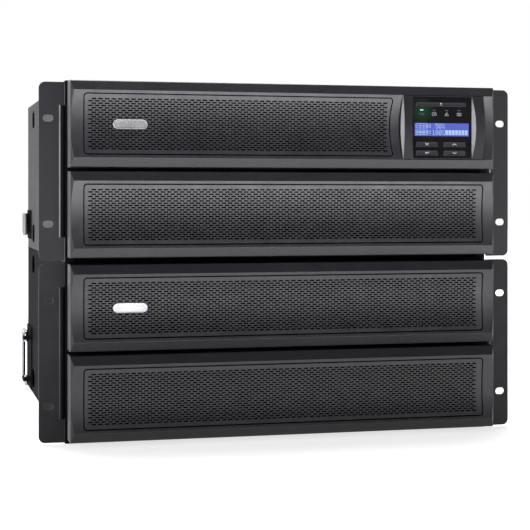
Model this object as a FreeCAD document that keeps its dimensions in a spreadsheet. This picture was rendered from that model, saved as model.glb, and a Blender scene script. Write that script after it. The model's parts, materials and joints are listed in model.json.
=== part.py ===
import FreeCAD, Part
import math
import os
import Sketcher

# A rack-mount uninterruptible power supply standing on its matching battery pack.
#
# Each unit is modelled in its own frame: X to the right along the front, Y = 0 on the front face of
# the rack ears with the front at negative Y, and Z = 0 under its case. The finished frame has its
# origin under the middle of the stack, +Z up and the front facing -Y.

OVERRUN = 10  # how far a cutting tool passes the faces that it cuts
BLOCK_COLUMNS = 4
BLOCK_ROWS = 2
FIN_COUNT = 7
BLADE_COUNT = 7
GUARD_RINGS = 4
FAN_COUNT = 2
LENS_COUNT = 4
CAPACITOR_COUNT = 6
PORT_COUNT = 3
OUTLET_COLUMNS = 3
OUTLET_ROWS = 2
BREAKER_COUNT = 2

DRIVING = {
    # Cases
    "unit_height": 175.0,
    "rack_plane": -207.5,
    "case_half": 216.0,
    "case_front": 3.0,
    "case_back": 445.8,
    "sheet": 1.2,
    "shelf_level": 88.0,
    "cover_lip": 9.0,
    "cover_lip_inset": 10.0,
    "frame_inset": 0.1,
    "door_margin": 2.0,
    "lintel": 4.0,
    "filter_half": 210.0,
    "filter_thick": 8.0,
    "filter_gap": 0.3,
    "vent_width": 33.0,
    "vent_height": 21.0,
    "vent_round": 7.0,
    "vent_centre": 367.0,
    "vent_margin": 18.5,
    # Rack ears
    "ear_tip": 241.3,
    "ear_plate": 2.5,
    "ear_height": 171.5,
    "ear_round": 6.0,
    "ear_bend": 6.0,
    "ear_relief": 1.0,
    "flange_height": 127.0,
    "flange_depth": 62.0,
    "slot_reach": 232.55,
    "slot_pitch": 101.6,
    "slot_length": 10.0,
    "slot_width": 6.8,
    "ear_screw_radius": 3.4,
    "ear_screw_head": 1.2,
    "ear_screw_first": 26.0,
    "ear_screw_pitch": 24.0,
    "ear_screw_rise": 45.0,
    # Bezels
    "bezel_half": 214.0,
    "bezel_height": 82.6,
    "bezel_base": 4.65,
    "bezel_pitch": 86.2,
    "bezel_back": -1.0,
    "bezel_shoulder": -25.0,
    "bezel_ridge": -30.0,
    "bezel_bevel": 9.0,
    "bezel_wall": 2.6,
    "bezel_inside": -23.5,
    "face_hollow": 3.0,
    "end_bevel_width": 3.1,
    "end_bevel_depth": 3.4,
    # Grilles
    "grille_half": 200.8,
    "grille_half_height": 28.2,
    "grille_groove": 0.5,
    "grille_skin": 1.8,
    "grille_rim": 3.0,
    "grille_sunk": 0.3,
    "short_grille_end": 104.0,
    # Badge
    "badge_centre": -157.2,
    "badge_width": 33.6,
    "badge_height": 9.5,
    "badge_plate": 1.2,
    "badge_lift": 0.2,
    # Display module
    "display_centre": 158.6,
    "display_half": 42.4,
    "display_flare": 2.9,
    "display_low": 100.4,
    "display_high": 163.9,
    "display_bulge": 4.0,
    "display_gap": 0.5,
    "well_gap": 0.2,
    "well_floor": 3.0,
    "fascia_left": 127.2,
    "fascia_right": 188.9,
    "fascia_margin": 0.8,
    "fascia_plate": 1.6,
    "lcd_left": 128.2,
    "lcd_right": 186.0,
    "lcd_low": 123.6,
    "lcd_high": 136.7,
    "key_left": 128.9,
    "key_width": 23.8,
    "key_height": 5.4,
    "key_step_across": 29.4,
    "key_low": 104.1,
    "key_step_up": 8.6,
    "power_key_width": 54.0,
    "power_key_low": 153.1,
    "power_key_height": 4.6,
    "key_proud": 1.2,
    "key_length": 5.7,
    "key_gap": 0.35,
    "lens_first": 135.9,
    "lens_pitch": 13.1,
    "lens_level": 149.0,
    "lens_width": 4.0,
    "lens_height": 1.3,
    "lens_proud": 0.2,
    "board": 1.6,
    "board_gap": 1.5,
    "display_post": 4.0,
    "display_post_inset": 5.0,
    # Power electronics
    "standoff": 8.0,
    "power_board_half": 190.0,
    "power_board_front": 60.0,
    "power_board_back": 410.0,
    "heatsink_left": -150.0,
    "heatsink_step": 80.0,
    "heatsink_front": 110.0,
    "heatsink_length": 170.0,
    "heatsink_foot": 6.0,
    "heatsink_height": 52.0,
    "fin_pitch": 9.0,
    "fin": 2.0,
    "transformer_left": 30.0,
    "transformer_front": 150.0,
    "transformer_width": 84.0,
    "transformer_depth": 56.0,
    "transformer_height": 66.0,
    "transformer_limb": 14.0,
    "winding_overhang": 8.0,
    "capacitor_radius": 12.5,
    "capacitor_height": 45.0,
    "capacitor_across": 150.0,
    "capacitor_first": 120.0,
    "capacitor_pitch": 32.0,
    # Battery drawers
    "bay_gap": 0.4,
    "tray_half": 205.0,
    "tray_front": 6.0,
    "tray_depth": 316.0,
    "tray_face_height": 74.0,
    "tray_side_height": 34.0,
    "tray_grip_width": 90.0,
    "tray_grip_reach": 20.0,
    "tray_grip_bar": 6.0,
    "block_width": 94.0,
    "block_depth": 151.0,
    "block_height": 65.0,
    "block_gap": 5.0,
    # Rear of the supply
    "fan_size": 80.0,
    "fan_thick": 25.0,
    "fan_bore": 38.0,
    "fan_first": -165.0,
    "fan_pitch": 92.0,
    "fan_level": 131.0,
    "fan_hub": 14.0,
    "fan_blade": 21.5,
    "fan_hub_depth": 16.0,
    "fan_shaft": 1.5,
    "fan_shaft_length": 4.0,
    "fan_stand_off": 5.0,
    "fan_mount": 4.0,
    "fan_strut": 4.0,
    "fan_strut_depth": 3.0,
    "blade_skew": 12.4,
    "blade_depth": 14.0,
    "blade_sheet": 1.6,
    "shaft_gap": 0.05,
    "guard_plate": 2.0,
    "guard_wire": 1.8,
    "guard_first": 10.0,
    "guard_pitch": 9.0,
    "outlet_left": 2.0,
    "outlet_low": 99.0,
    "outlet_pitch_across": 36.0,
    "outlet_pitch_up": 32.0,
    "outlet_width": 26.0,
    "outlet_height": 18.0,
    "outlet_deep": 16.0,
    "socket_body": 24.0,
    "socket_flange": 2.0,
    "socket_rim": 4.0,
    "socket_lip": 2.0,
    "inlet_left": 142.0,
    "inlet_low": 110.0,
    "inlet_width": 32.0,
    "inlet_height": 23.0,
    "inlet_deep": 18.0,
    "inlet_pin_length": 11.0,
    "inlet_pin_width": 2.0,
    "inlet_pin_height": 7.0,
    "inlet_pin_reach": 8.0,
    "inlet_pin_drop": 3.0,
    "inlet_pin_rise": 4.0,
    "link_left": 92.0,
    "link_low": 26.0,
    "link_width": 50.0,
    "link_height": 28.0,
    "link_pitch": -110.0,
    "port_left": -56.0,
    "port_low": 40.0,
    "port_size": 12.0,
    "port_pitch": 18.0,
    "port_deep": 11.0,
    "breaker_first": 30.0,
    "breaker_pitch": 26.0,
    "breaker_level": 45.0,
    "breaker_radius": 4.0,
    "breaker_gap": 0.4,
    "breaker_length": 12.0,
    "breaker_sunk": 0.2,
    "card_left": -200.0,
    "card_low": 28.0,
    "card_width": 122.0,
    "card_height": 44.0,
    "card_screw_radius": 4.0,
    "card_screw_inset": 7.0,
    "card_edge_across": 14.0,
    "card_edge_up": 4.0,
    # Side hardware near the back
    "bail_hinge_back": 392.0,
    "bail_offset": 222.5,
    "bail_reach": 46.0,
    "bail_low": 6.0,
    "bail_high": 74.0,
    "bail_wire": 2.5,
    "bail_stub": 11.0,
    "bracket_plate": 1.5,
    "bracket_front": 384.0,
    "bracket_low": 2.0,
    "bracket_high": 78.0,
    "lug_height": 5.0,
    "lug_half": 4.5,
    "lug_wall": 1.5,
    "lug_clear": 1.2,
    "tab_margin": 4.0,
    "tab_low": 15.0,
    "tab_high": 42.0,
    "tab_front": 398.0,
    "tab_back": 441.0,
    "tab_offset": 222.0,
    "tab_plate": 1.5,
}


class Dim:
    """A dimension: its value in millimetres and the spreadsheet expression that gives it."""

    def __init__(self, text, value):
        self.text = text
        self.value = float(value)

    def __add__(self, other):
        return join(self, "+", other, self.value + value_of(other))

    def __radd__(self, other):
        return join(other, "+", self, value_of(other) + self.value)

    def __sub__(self, other):
        return join(self, "-", other, self.value - value_of(other))

    def __rsub__(self, other):
        return join(other, "-", self, value_of(other) - self.value)

    def __mul__(self, other):
        return join(self, "*", other, self.value * value_of(other))

    def __rmul__(self, other):
        return join(other, "*", self, value_of(other) * self.value)

    def __truediv__(self, other):
        return join(self, "/", other, self.value / value_of(other))

    def __neg__(self):
        return join(-1, "*", self, -self.value)


def value_of(size):
    return size.value if isinstance(size, Dim) else float(size)


def text_of(size):
    return size.text if isinstance(size, Dim) else "(%s)" % size


def join(left, sign, right, value):
    return Dim("(%s %s %s)" % (text_of(left), sign, text_of(right)), value)


doc = FreeCAD.newDocument("rackmount_ups")
sheet = doc.addObject("Spreadsheet::Sheet", "sizes")


def fill_sheet():
    """Write the driving dimensions to the sheet and return them as Dims by name."""
    dims = {}
    for row, (alias, value) in enumerate(DRIVING.items(), start=1):
        sheet.set("A%d" % row, alias)
        sheet.set("B%d" % row, str(value))
        sheet.setAlias("B%d" % row, alias)
        dims[alias] = Dim("sizes." + alias, value)
    doc.recompute()
    return dims


D = fill_sheet()
parts = []


# ---------------------------------------------------------------- helpers

def bind(obj, prop, size):
    """Give obj's property a number, or tie it to the sheet."""
    if isinstance(size, Dim):
        obj.setExpression(prop, size.text)
    elif size:
        obj.setExpression(prop, str(size))


def publish(obj, node, unit, x=0, y=0, z=0):
    """Name a finished sub-part and put its own origin at (x, y, z) in its unit's frame."""
    obj.Label = node
    bind(obj, "Placement.Base.x", x)
    bind(obj, "Placement.Base.y", D["rack_plane"] + y)
    bind(obj, "Placement.Base.z", unit["base"] + z)
    parts.append(obj)
    return obj


def box(name, low, high):
    """A block between two opposite corners."""
    obj = doc.addObject("Part::Box", name)
    for prop, start, end in zip(("Length", "Width", "Height"), low, high):
        bind(obj, prop, end - start)
    for axis, start in zip("xyz", low):
        bind(obj, "Placement.Base." + axis, start)
    return obj


def rod_along_y(name, radius, length, x, y, z):
    """A cylinder whose axis runs towards +Y from (x, y, z)."""
    obj = doc.addObject("Part::Cylinder", name)
    bind(obj, "Radius", radius)
    bind(obj, "Height", length)
    obj.Placement.Rotation = FreeCAD.Rotation(FreeCAD.Vector(1, 0, 0), -90)
    for axis, size in zip("xyz", (x, y, z)):
        bind(obj, "Placement.Base." + axis, size)
    return obj


def rod_along_z(name, radius, length, x, y, z):
    """A cylinder whose axis runs up from (x, y, z)."""
    obj = doc.addObject("Part::Cylinder", name)
    bind(obj, "Radius", radius)
    bind(obj, "Height", length)
    for axis, size in zip("xyz", (x, y, z)):
        bind(obj, "Placement.Base." + axis, size)
    return obj


def fuse(name, pieces):
    obj = doc.addObject("Part::MultiFuse", name)
    obj.Shapes = pieces
    return obj


def cut(name, base, tools):
    obj = doc.addObject("Part::Cut", name)
    obj.Base = base
    obj.Tool = tools[0] if len(tools) == 1 else fuse(name + "_tools", tools)
    return obj


def group(name, pieces):
    """Separate solids that share one node."""
    obj = doc.addObject("Part::Compound", name)
    obj.Links = pieces
    return obj


def new_body(name):
    return doc.addObject("PartDesign::Body", name)


def origin_feature(body, role):
    return next(item for item in body.Origin.OriginFeatures if item.Role == role)


def new_sketch(body, role, offset):
    """A sketch on one of the body's origin planes, moved along that plane's normal."""
    sketch = body.newObject("Sketcher::SketchObject", body.Name + "_sketch")
    sketch.AttachmentSupport = [(origin_feature(body, role), "")]
    sketch.MapMode = "FlatFace"
    bind(sketch, "AttachmentOffset.Base.z", offset)
    return sketch


def pin_point(sketch, edge, end, point):
    """Hold one end of an edge at a point of the sketch plane."""
    for kind, size in zip(("DistanceX", "DistanceY"), point):
        index = sketch.addConstraint(Sketcher.Constraint(kind, edge, end, value_of(size)))
        bind(sketch, "Constraints[%d]" % index, size)


def bowed_edge(start, end, radius, side):
    """The arc from start to end with the given radius; side is +1 to bulge to the right."""
    start = FreeCAD.Vector(*[value_of(size) for size in start])
    end = FreeCAD.Vector(*[value_of(size) for size in end])
    half = (end - start) * 0.5
    normal = FreeCAD.Vector(half.y, -half.x, 0).normalize()
    rise = radius - math.sqrt(radius ** 2 - half.Length ** 2)
    return Part.Arc(start, start + half + normal * rise * side, end)


def add_outline(sketch, points, bows=None):
    """A closed outline through the points. bows maps an edge's number to (radius, side)."""
    bows = bows or {}
    first = sketch.GeometryCount
    for number, start in enumerate(points):
        end = points[(number + 1) % len(points)]
        if number in bows:
            radius, side = bows[number]
            edge = sketch.addGeometry(bowed_edge(start, end, value_of(radius), side))
            index = sketch.addConstraint(Sketcher.Constraint("Radius", edge, value_of(radius)))
            bind(sketch, "Constraints[%d]" % index, radius)
        else:
            flat = [FreeCAD.Vector(value_of(p[0]), value_of(p[1]), 0) for p in (start, end)]
            edge = sketch.addGeometry(Part.LineSegment(*flat))
    for number, point in enumerate(points):
        edge = first + number
        before = first + (number - 1) % len(points)
        sketch.addConstraint(Sketcher.Constraint(
            "Coincident", before, end_near(sketch, before, point), edge, end_near(sketch, edge, point)))
        pin_point(sketch, edge, end_near(sketch, edge, point), point)


def end_near(sketch, edge, point):
    """Which end of the edge, 1 or 2, lies at the point."""
    target = FreeCAD.Vector(value_of(point[0]), value_of(point[1]), 0)
    return min((1, 2), key=lambda end: (sketch.getPoint(edge, end) - target).Length)


def add_rectangle(sketch, low, high):
    add_outline(sketch, [low, (high[0], low[1]), high, (low[0], high[1])])


def add_circle(sketch, centre, radius):
    where = FreeCAD.Vector(value_of(centre[0]), value_of(centre[1]), 0)
    edge = sketch.addGeometry(Part.Circle(where, FreeCAD.Vector(0, 0, 1), value_of(radius)))
    index = sketch.addConstraint(Sketcher.Constraint("Radius", edge, value_of(radius)))
    bind(sketch, "Constraints[%d]" % index, radius)
    pin_point(sketch, edge, 3, centre)


def add_rounded(sketch, low, high, radius):
    """A rectangle with four quarter-round corners."""
    x0, y0 = low
    x1, y1 = high
    points = [(x0 + radius, y0), (x1 - radius, y0), (x1, y0 + radius), (x1, y1 - radius),
              (x1 - radius, y1), (x0 + radius, y1), (x0, y1 - radius), (x0, y0 + radius)]
    add_outline(sketch, points, {number: (radius, 1) for number in (1, 3, 5, 7)})


def add_slot(sketch, centre, length, width):
    """A horizontal slot with half-round ends."""
    reach = (length - width) / 2
    x0 = centre[0] - reach
    x1 = centre[0] + reach
    y0 = centre[1] - width / 2
    y1 = centre[1] + width / 2
    middle_left = centre[0] - length / 2
    middle_right = centre[0] + length / 2
    points = [(x0, y0), (x1, y0), (middle_right, centre[1]), (x1, y1), (x0, y1), (middle_left, centre[1])]
    add_outline(sketch, points, {number: (width / 2, 1) for number in (1, 2, 4, 5)})


def pad(body, sketch, length, reverse=False):
    feature = body.newObject("PartDesign::Pad", body.Name + "_pad")
    feature.Profile = sketch
    bind(feature, "Length", length)
    feature.Reversed = reverse
    return feature


def pocket(body, sketch, length=None, reverse=False):
    """Cut a sketch into the body, right through it when no length is given."""
    doc.recompute()
    before = body.Shape.Volume
    feature = body.newObject("PartDesign::Pocket", body.Name + "_pocket")
    feature.Profile = sketch
    feature.Reversed = reverse
    if length is None:
        feature.Type = "ThroughAll"
    else:
        bind(feature, "Length", length)
    doc.recompute()
    if body.Shape.Volume >= before:
        raise RuntimeError("%s: the pocket %s cuts nothing" % (body.Name, feature.Name))
    return feature


def arc_radius(half_chord, rise):
    return (half_chord * half_chord + rise * rise) / (2 * rise)


# ---------------------------------------------------------------- cases

def inner_half():
    return D["case_half"] - D["sheet"]


def shelf_top():
    return D["shelf_level"] + D["sheet"]


def side_span(side, near, far):
    """The two X limits of something between near and far on one side, low one first."""
    return (near, far) if side > 0 else (-far, -near)


def make_chassis(unit):
    """Folded tub with the shelf between its two bays and four side openings."""
    body = new_body(unit["name"] + "_chassis")
    top = D["unit_height"] - D["sheet"]
    outer = D["case_half"]
    inner = inner_half()
    tub = new_sketch(body, "XZ_Plane", -D["case_front"])
    floor = D["sheet"]
    shelf = shelf_top()
    add_outline(tub, [(-outer, 0), (outer, 0), (outer, top), (inner, top), (inner, shelf),
                      (-inner, shelf), (-inner, top), (-outer, top)])
    add_rectangle(tub, (-inner, floor), (inner, D["shelf_level"]))
    pad(body, tub, D["case_back"] - D["case_front"], reverse=True)
    vents = new_sketch(body, "YZ_Plane", outer)
    for centre in (D["vent_margin"], D["unit_height"] - D["vent_margin"]):
        low = (D["vent_centre"] - D["vent_width"] / 2, centre - D["vent_height"] / 2)
        high = (D["vent_centre"] + D["vent_width"] / 2, centre + D["vent_height"] / 2)
        add_rounded(vents, low, high, D["vent_round"])
    pocket(body, vents)
    publish(body, body.Name, unit)


def make_top_cover(unit):
    """Flat lid with a lip down inside each side wall."""
    name = unit["name"] + "_top_cover"
    half = D["case_half"]
    inner = inner_half()
    under = D["unit_height"] - D["sheet"]
    front = D["case_front"] + D["cover_lip_inset"]
    back = D["case_back"] - D["cover_lip_inset"]
    lid = box(name + "_lid", (-half, D["case_front"], under), (half, D["case_back"], D["unit_height"]))
    pieces = [lid]
    for side in (-1, 1):
        low_x, high_x = side_span(side, inner - D["sheet"], inner)
        pieces.append(box(name + "_lip", (low_x, front, under - D["cover_lip"]), (high_x, back, under)))
    publish(fuse(name, pieces), name, unit)


def make_front_frame(unit):
    """Sheet across the front of the case with a doorway for each bay."""
    body = new_body(unit["name"] + "_front_frame")
    sketch = new_sketch(body, "XZ_Plane", -D["case_front"])
    half = D["case_half"] - D["frame_inset"]
    door_half = D["tray_half"] + D["door_margin"]
    add_rectangle(sketch, (-half, 0), (half, D["unit_height"]))
    add_rectangle(sketch, (-door_half, D["sheet"]), (door_half, D["shelf_level"] - D["lintel"]))
    add_rectangle(sketch, (-door_half, shelf_top()), (door_half, D["unit_height"] - D["lintel"]))
    pad(body, sketch, D["sheet"])
    publish(body, body.Name, unit)


def make_air_filter(unit):
    """Foam dust filter behind the upper doorway, where the fans draw their air in."""
    half = D["filter_half"]
    front = D["case_front"]
    low = shelf_top()
    high = D["unit_height"] - D["sheet"] - D["filter_gap"]
    foam = box("air_filter", (-half, front, low), (half, front + D["filter_thick"], high))
    publish(foam, "air_filter", unit, -half, front, low)


def make_rear_panel(unit, add_cutouts):
    """Sheet across the back of the case, with its cut-outs."""
    body = new_body(unit["name"] + "_rear_panel")
    half = D["case_half"]
    back = D["case_back"] + D["sheet"]
    plate = new_sketch(body, "XZ_Plane", -back)
    add_rectangle(plate, (-half, 0), (half, D["unit_height"]))
    pad(body, plate, D["sheet"])
    holes = new_sketch(body, "XZ_Plane", -back)
    add_cutouts(holes)
    pocket(body, holes, reverse=True)
    publish(body, body.Name, unit)


def make_ear(unit, side):
    """Rack ear: a slotted front plate that bends back along the outside of the case wall."""
    body = new_body(unit["name"] + ("_ear_left" if side < 0 else "_ear_right"))
    sheet = D["ear_plate"]
    middle = D["unit_height"] / 2
    half_flange = D["flange_height"] / 2
    tip = side * D["ear_tip"]
    shoulder = side * (D["ear_tip"] - D["ear_round"])
    wall = side * D["case_half"]
    bend = side * (D["case_half"] + D["ear_bend"])
    outside = side * (D["case_half"] + sheet)
    angle = new_sketch(body, "XY_Plane", middle - half_flange)
    add_outline(angle, [
        (wall, D["flange_depth"]), (wall, D["ear_bend"]), (bend, 0), (shoulder, 0),
        (shoulder, sheet), (bend, sheet), (outside, D["ear_bend"]), (outside, D["flange_depth"]),
    ], {1: (D["ear_bend"], -side), 5: (D["ear_bend"] - sheet, side)})
    pad(body, angle, D["flange_height"])

    half_height = D["ear_height"] / 2
    relief = side * (D["case_half"] + D["ear_relief"])
    plate = new_sketch(body, "XZ_Plane", -sheet)
    add_outline(plate, [
        (bend, middle - half_flange), (relief, middle - half_flange),
        (relief, middle - half_height), (shoulder, middle - half_height),
        (tip, middle - half_height + D["ear_round"]), (tip, middle + half_height - D["ear_round"]),
        (shoulder, middle + half_height), (relief, middle + half_height),
        (relief, middle + half_flange), (bend, middle + half_flange),
    ], {3: (D["ear_round"], side), 5: (D["ear_round"], side)})
    pad(body, plate, sheet)
    slots = new_sketch(body, "XZ_Plane", -sheet)
    for end in (-1, 1):
        centre = (side * D["slot_reach"], middle + end * D["slot_pitch"] / 2)
        add_slot(slots, centre, D["slot_length"], D["slot_width"])
    pocket(body, slots, reverse=True)
    publish(body, body.Name, unit)


# ---------------------------------------------------------------- bezels

def bezel_low(level):
    """Height of a bezel's bottom edge: level 0 is the lower bezel, level 1 the upper."""
    return D["bezel_base"] + level * D["bezel_pitch"]


def face_radius():
    return arc_radius(D["bezel_height"] / 2 - D["bezel_bevel"], D["face_hollow"])


def make_bezel(name, unit, level, with_display):
    """Moulded cover: hollow-curved face, bevelled all round, open behind."""
    body = new_body(name)
    low = bezel_low(level)
    high = low + D["bezel_height"]
    half = D["bezel_half"]
    back = D["bezel_back"]
    section = new_sketch(body, "YZ_Plane", -half)
    add_outline(section, [
        (back, low), (D["bezel_shoulder"], low), (D["bezel_ridge"], low + D["bezel_bevel"]),
        (D["bezel_ridge"], high - D["bezel_bevel"]), (D["bezel_shoulder"], high), (back, high),
    ], {2: (face_radius(), 1)})
    pad(body, section, 2 * half)

    ends = new_sketch(body, "XY_Plane", high)
    front = D["bezel_ridge"]
    for side in (-1, 1):
        add_outline(ends, [(side * (half - D["end_bevel_width"]), front),
                           (side * half, front),
                           (side * half, front + D["end_bevel_depth"])])
    pocket(body, ends)

    inside = new_sketch(body, "XZ_Plane", -back)
    wall = D["bezel_wall"]
    add_rectangle(inside, (-half + wall, low + wall), (half - wall, high - wall))
    pocket(body, inside, back - D["bezel_inside"], reverse=True)

    window = new_sketch(body, "XZ_Plane", -back)
    middle = low + D["bezel_height"] / 2
    reach = D["grille_half_height"]
    end = D["short_grille_end"] if with_display else D["grille_half"]
    gap = D["grille_groove"]
    add_rectangle(window, (-D["grille_half"] - gap, middle - reach - gap),
                  (end + gap, middle + reach + gap))
    if with_display:
        add_display_outline(window, D["display_gap"])
    pocket(body, window, reverse=True)
    publish(body, name, unit)


def make_grille(name, unit, level, end):
    """Hollow-curved insert held from behind by a rim; its fine slots are left out of this solid."""
    body = new_body(name)
    middle = bezel_low(level) + D["bezel_height"] / 2
    reach = D["grille_half_height"]
    skin = D["grille_skin"]
    lip = D["grille_rim"]
    start = -D["grille_half"]
    front = D["bezel_ridge"] + D["grille_sunk"]
    back = D["bezel_inside"] + skin
    section = new_sketch(body, "YZ_Plane", start)
    radius = arc_radius(reach, D["face_hollow"])
    add_outline(section, [(front + skin, middle - reach), (front, middle - reach),
                          (front, middle + reach), (front + skin, middle + reach)],
                {1: (radius, 1), 3: (radius, -1)})
    pad(body, section, end - start)
    hole_low = (start + skin, middle - reach + skin)
    hole_high = (end - skin, middle + reach - skin)
    for border, depth in ((0, back - front - skin), (lip, skin)):
        ring = new_sketch(body, "XZ_Plane", -back)
        add_rectangle(ring, (start - border, middle - reach - border),
                      (end + border, middle + reach + border))
        add_rectangle(ring, hole_low, hole_high)
        pad(body, ring, depth)
    publish(body, name, unit)


def make_badge(unit):
    """Plain raised capsule on the upper bezel's grille."""
    body = new_body(unit["name"] + "_badge")
    middle = bezel_low(1) + D["bezel_height"] / 2
    plane = -D["bezel_ridge"] - D["face_hollow"] - D["badge_lift"]
    sketch = new_sketch(body, "XZ_Plane", plane)
    add_slot(sketch, (D["badge_centre"], middle), D["badge_width"], D["badge_height"])
    pad(body, sketch, D["badge_plate"])
    publish(body, body.Name, unit)


# ---------------------------------------------------------------- display module

def display_bounds():
    low = D["display_low"]
    high = D["display_high"]
    return D["display_centre"] - D["display_half"], D["display_centre"] + D["display_half"], low, high


def add_display_outline(sketch, gap):
    """Outline of the display surround, its sides bowed outwards, grown by a gap."""
    left, right, low, high = display_bounds()
    radius = arc_radius((D["display_high"] - D["display_low"]) / 2 + gap, D["display_flare"])
    add_outline(sketch, [(left - gap, low - gap), (right + gap, low - gap),
                         (right + gap, high + gap), (left - gap, high + gap)],
                {1: (radius, 1), 3: (radius, 1)})


def make_display_housing(unit):
    """Surround with a barrel front, bolted to the front frame behind the bezel."""
    body = new_body("display_housing")
    left, right, low, high = display_bounds()
    foot = D["case_front"] - D["sheet"]
    outline = new_sketch(body, "XZ_Plane", -foot)
    add_display_outline(outline, 0)
    front = D["bezel_ridge"] - D["display_bulge"]
    pad(body, outline, foot - front)
    barrel = new_sketch(body, "YZ_Plane", left - OVERRUN)
    ridge = D["bezel_ridge"]
    radius = arc_radius((high - low) / 2, D["display_bulge"])
    add_outline(barrel, [(ridge, low), (ridge, high), (front - 1, high), (front - 1, low)],
                {0: (radius, -1)})
    pocket(body, barrel, right - left + 2 * OVERRUN, reverse=True)
    well = new_sketch(body, "XZ_Plane", -front)
    margin = D["fascia_margin"]
    gap = D["well_gap"]
    add_rectangle(well, (D["fascia_left"] - gap, low + margin), (D["fascia_right"] + gap, high - margin))
    pocket(body, well, foot - front - D["well_floor"])
    publish(body, body.Name, unit)


def make_display_parts(unit):
    """Fascia, liquid-crystal screen, indicator lenses and circuit board inside the surround."""
    low = D["display_low"] + D["fascia_margin"]
    high = D["display_high"] - D["fascia_margin"]
    face = D["bezel_ridge"]
    body = new_body("display_fascia")
    plate = new_sketch(body, "XZ_Plane", -face - D["fascia_plate"])
    add_rectangle(plate, (D["fascia_left"], low), (D["fascia_right"], high))
    gap = D["key_gap"]
    for left, bottom, width, height in key_outlines().values():
        add_rectangle(plate, (left - gap, bottom - gap), (left + width + gap, bottom + height + gap))
    add_rectangle(plate, (D["lcd_left"], D["lcd_low"]), (D["lcd_right"], D["lcd_high"]))
    lens_top = D["lens_level"] + D["lens_height"]
    for left in lens_lefts():
        add_rectangle(plate, (left, D["lens_level"]), (left + D["lens_width"], lens_top))
    pad(body, plate, D["fascia_plate"])
    publish(body, body.Name, unit)

    board_front = face + D["key_length"] - D["key_proud"] + D["board_gap"]
    lcd_front = face + D["well_gap"]
    lcd = box("lcd_screen", (D["lcd_left"], lcd_front, D["lcd_low"]),
              (D["lcd_right"], board_front, D["lcd_high"]))
    publish(lcd, "lcd_screen", unit, D["lcd_left"], lcd_front, D["lcd_low"])

    lenses = []
    for left in lens_lefts():
        lenses.append(box("lens", (left, face - D["lens_proud"], D["lens_level"]),
                          (left + D["lens_width"], board_front, lens_top)))
    publish(group("indicator_lenses", lenses), "indicator_lenses", unit)

    board = box("display_board_sheet", (D["fascia_left"], board_front, low),
                (D["fascia_right"], board_front + D["board"], high))
    floor = D["case_front"] - D["sheet"] - D["well_floor"]
    size = D["display_post"]
    inset = D["display_post_inset"]
    posts = []
    for x in (D["fascia_left"] + inset, D["fascia_right"] - inset - size):
        for z in (low + inset, high - inset - size):
            posts.append(box("display_post", (x, board_front + D["board"], z), (x + size, floor, z + size)))
    publish(fuse("display_board", [board] + posts), "display_board", unit)


def key_outlines():
    """Left, bottom, width and height of each key."""
    left = D["key_left"]
    low = D["key_low"]
    right = left + D["key_step_across"]
    upper = low + D["key_step_up"]
    size = (D["key_width"], D["key_height"])
    return {
        "power_button": (left, D["power_key_low"], D["power_key_width"], D["power_key_height"]),
        "escape_button": (left, upper) + size,
        "up_button": (right, upper) + size,
        "enter_button": (left, low) + size,
        "down_button": (right, low) + size,
    }


def lens_lefts():
    first = D["lens_first"] - D["lens_width"] / 2
    return [first + number * D["lens_pitch"] for number in range(LENS_COUNT)]


def make_keys(unit):
    """The power key and the four menu keys, each standing slightly proud of the fascia."""
    face = D["bezel_ridge"] - D["key_proud"]
    for name, (left, low, width, height) in key_outlines().items():
        key = box(name, (left, face, low), (left + width, face + D["key_length"], low + height))
        publish(key, name, unit, left, face, low)


# ---------------------------------------------------------------- battery drawers

def make_drawer(unit, label, floor):
    """Battery tray with a grip on its front, and the eight battery blocks it carries."""
    name = unit["name"] + "_" + label
    half = D["tray_half"]
    sheet = D["sheet"]
    front = D["tray_front"]
    back = front + D["tray_depth"]
    base = floor + D["bay_gap"]
    deck = base + sheet
    rim = base + D["tray_side_height"]
    grip_half = D["tray_grip_width"] / 2
    bar = D["tray_grip_bar"]
    grip_low = base + D["tray_face_height"] / 2
    grip_front = front - D["tray_grip_reach"]
    pieces = [
        box(name + "_deck", (-half, front, base), (half, back, deck)),
        box(name + "_face", (-half, front, deck), (half, front + sheet, base + D["tray_face_height"])),
        box(name + "_back", (-half, back - sheet, deck), (half, back, rim)),
        box(name + "_left_side", (-half, front + sheet, deck), (-half + sheet, back - sheet, rim)),
        box(name + "_right_side", (half - sheet, front + sheet, deck), (half, back - sheet, rim)),
        box(name + "_grip", (-grip_half, grip_front, grip_low),
            (grip_half, grip_front + bar, grip_low + bar)),
    ]
    for x in (-grip_half, grip_half - bar):
        pieces.append(box(name + "_grip_post", (x, grip_front + bar, grip_low),
                          (x + bar, front, grip_low + bar)))
    publish(fuse(name + "_tray", pieces), name + "_tray", unit)

    blocks = []
    step_x = D["block_width"] + D["block_gap"]
    step_y = D["block_depth"] + D["block_gap"]
    first_x = (D["block_gap"] - step_x * BLOCK_COLUMNS) / 2
    first_y = front + (D["tray_depth"] - step_y * BLOCK_ROWS + D["block_gap"]) / 2
    for column in range(BLOCK_COLUMNS):
        for row in range(BLOCK_ROWS):
            x = first_x + step_x * column
            y = first_y + step_y * row
            blocks.append(box(name + "_block", (x, y, deck),
                              (x + D["block_width"], y + D["block_depth"], deck + D["block_height"])))
    publish(group(name + "_blocks", blocks), name + "_blocks", unit)


# ---------------------------------------------------------------- power electronics

def make_power_board(unit):
    """Main circuit board on four short posts."""
    low = shelf_top()
    size = D["standoff"]
    level = low + size
    half = D["power_board_half"]
    front = D["power_board_front"]
    back = D["power_board_back"]
    pieces = [box("power_board_sheet", (-half, front, level), (half, back, level + D["board"]))]
    for x in (size - half, half - 2 * size):
        for y in (front + size, back - 2 * size):
            pieces.append(box("power_board_post", (x, y, low), (x + size, y + size, level)))
    publish(fuse("power_board", pieces), "power_board", unit)
    return level + D["board"]


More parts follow.
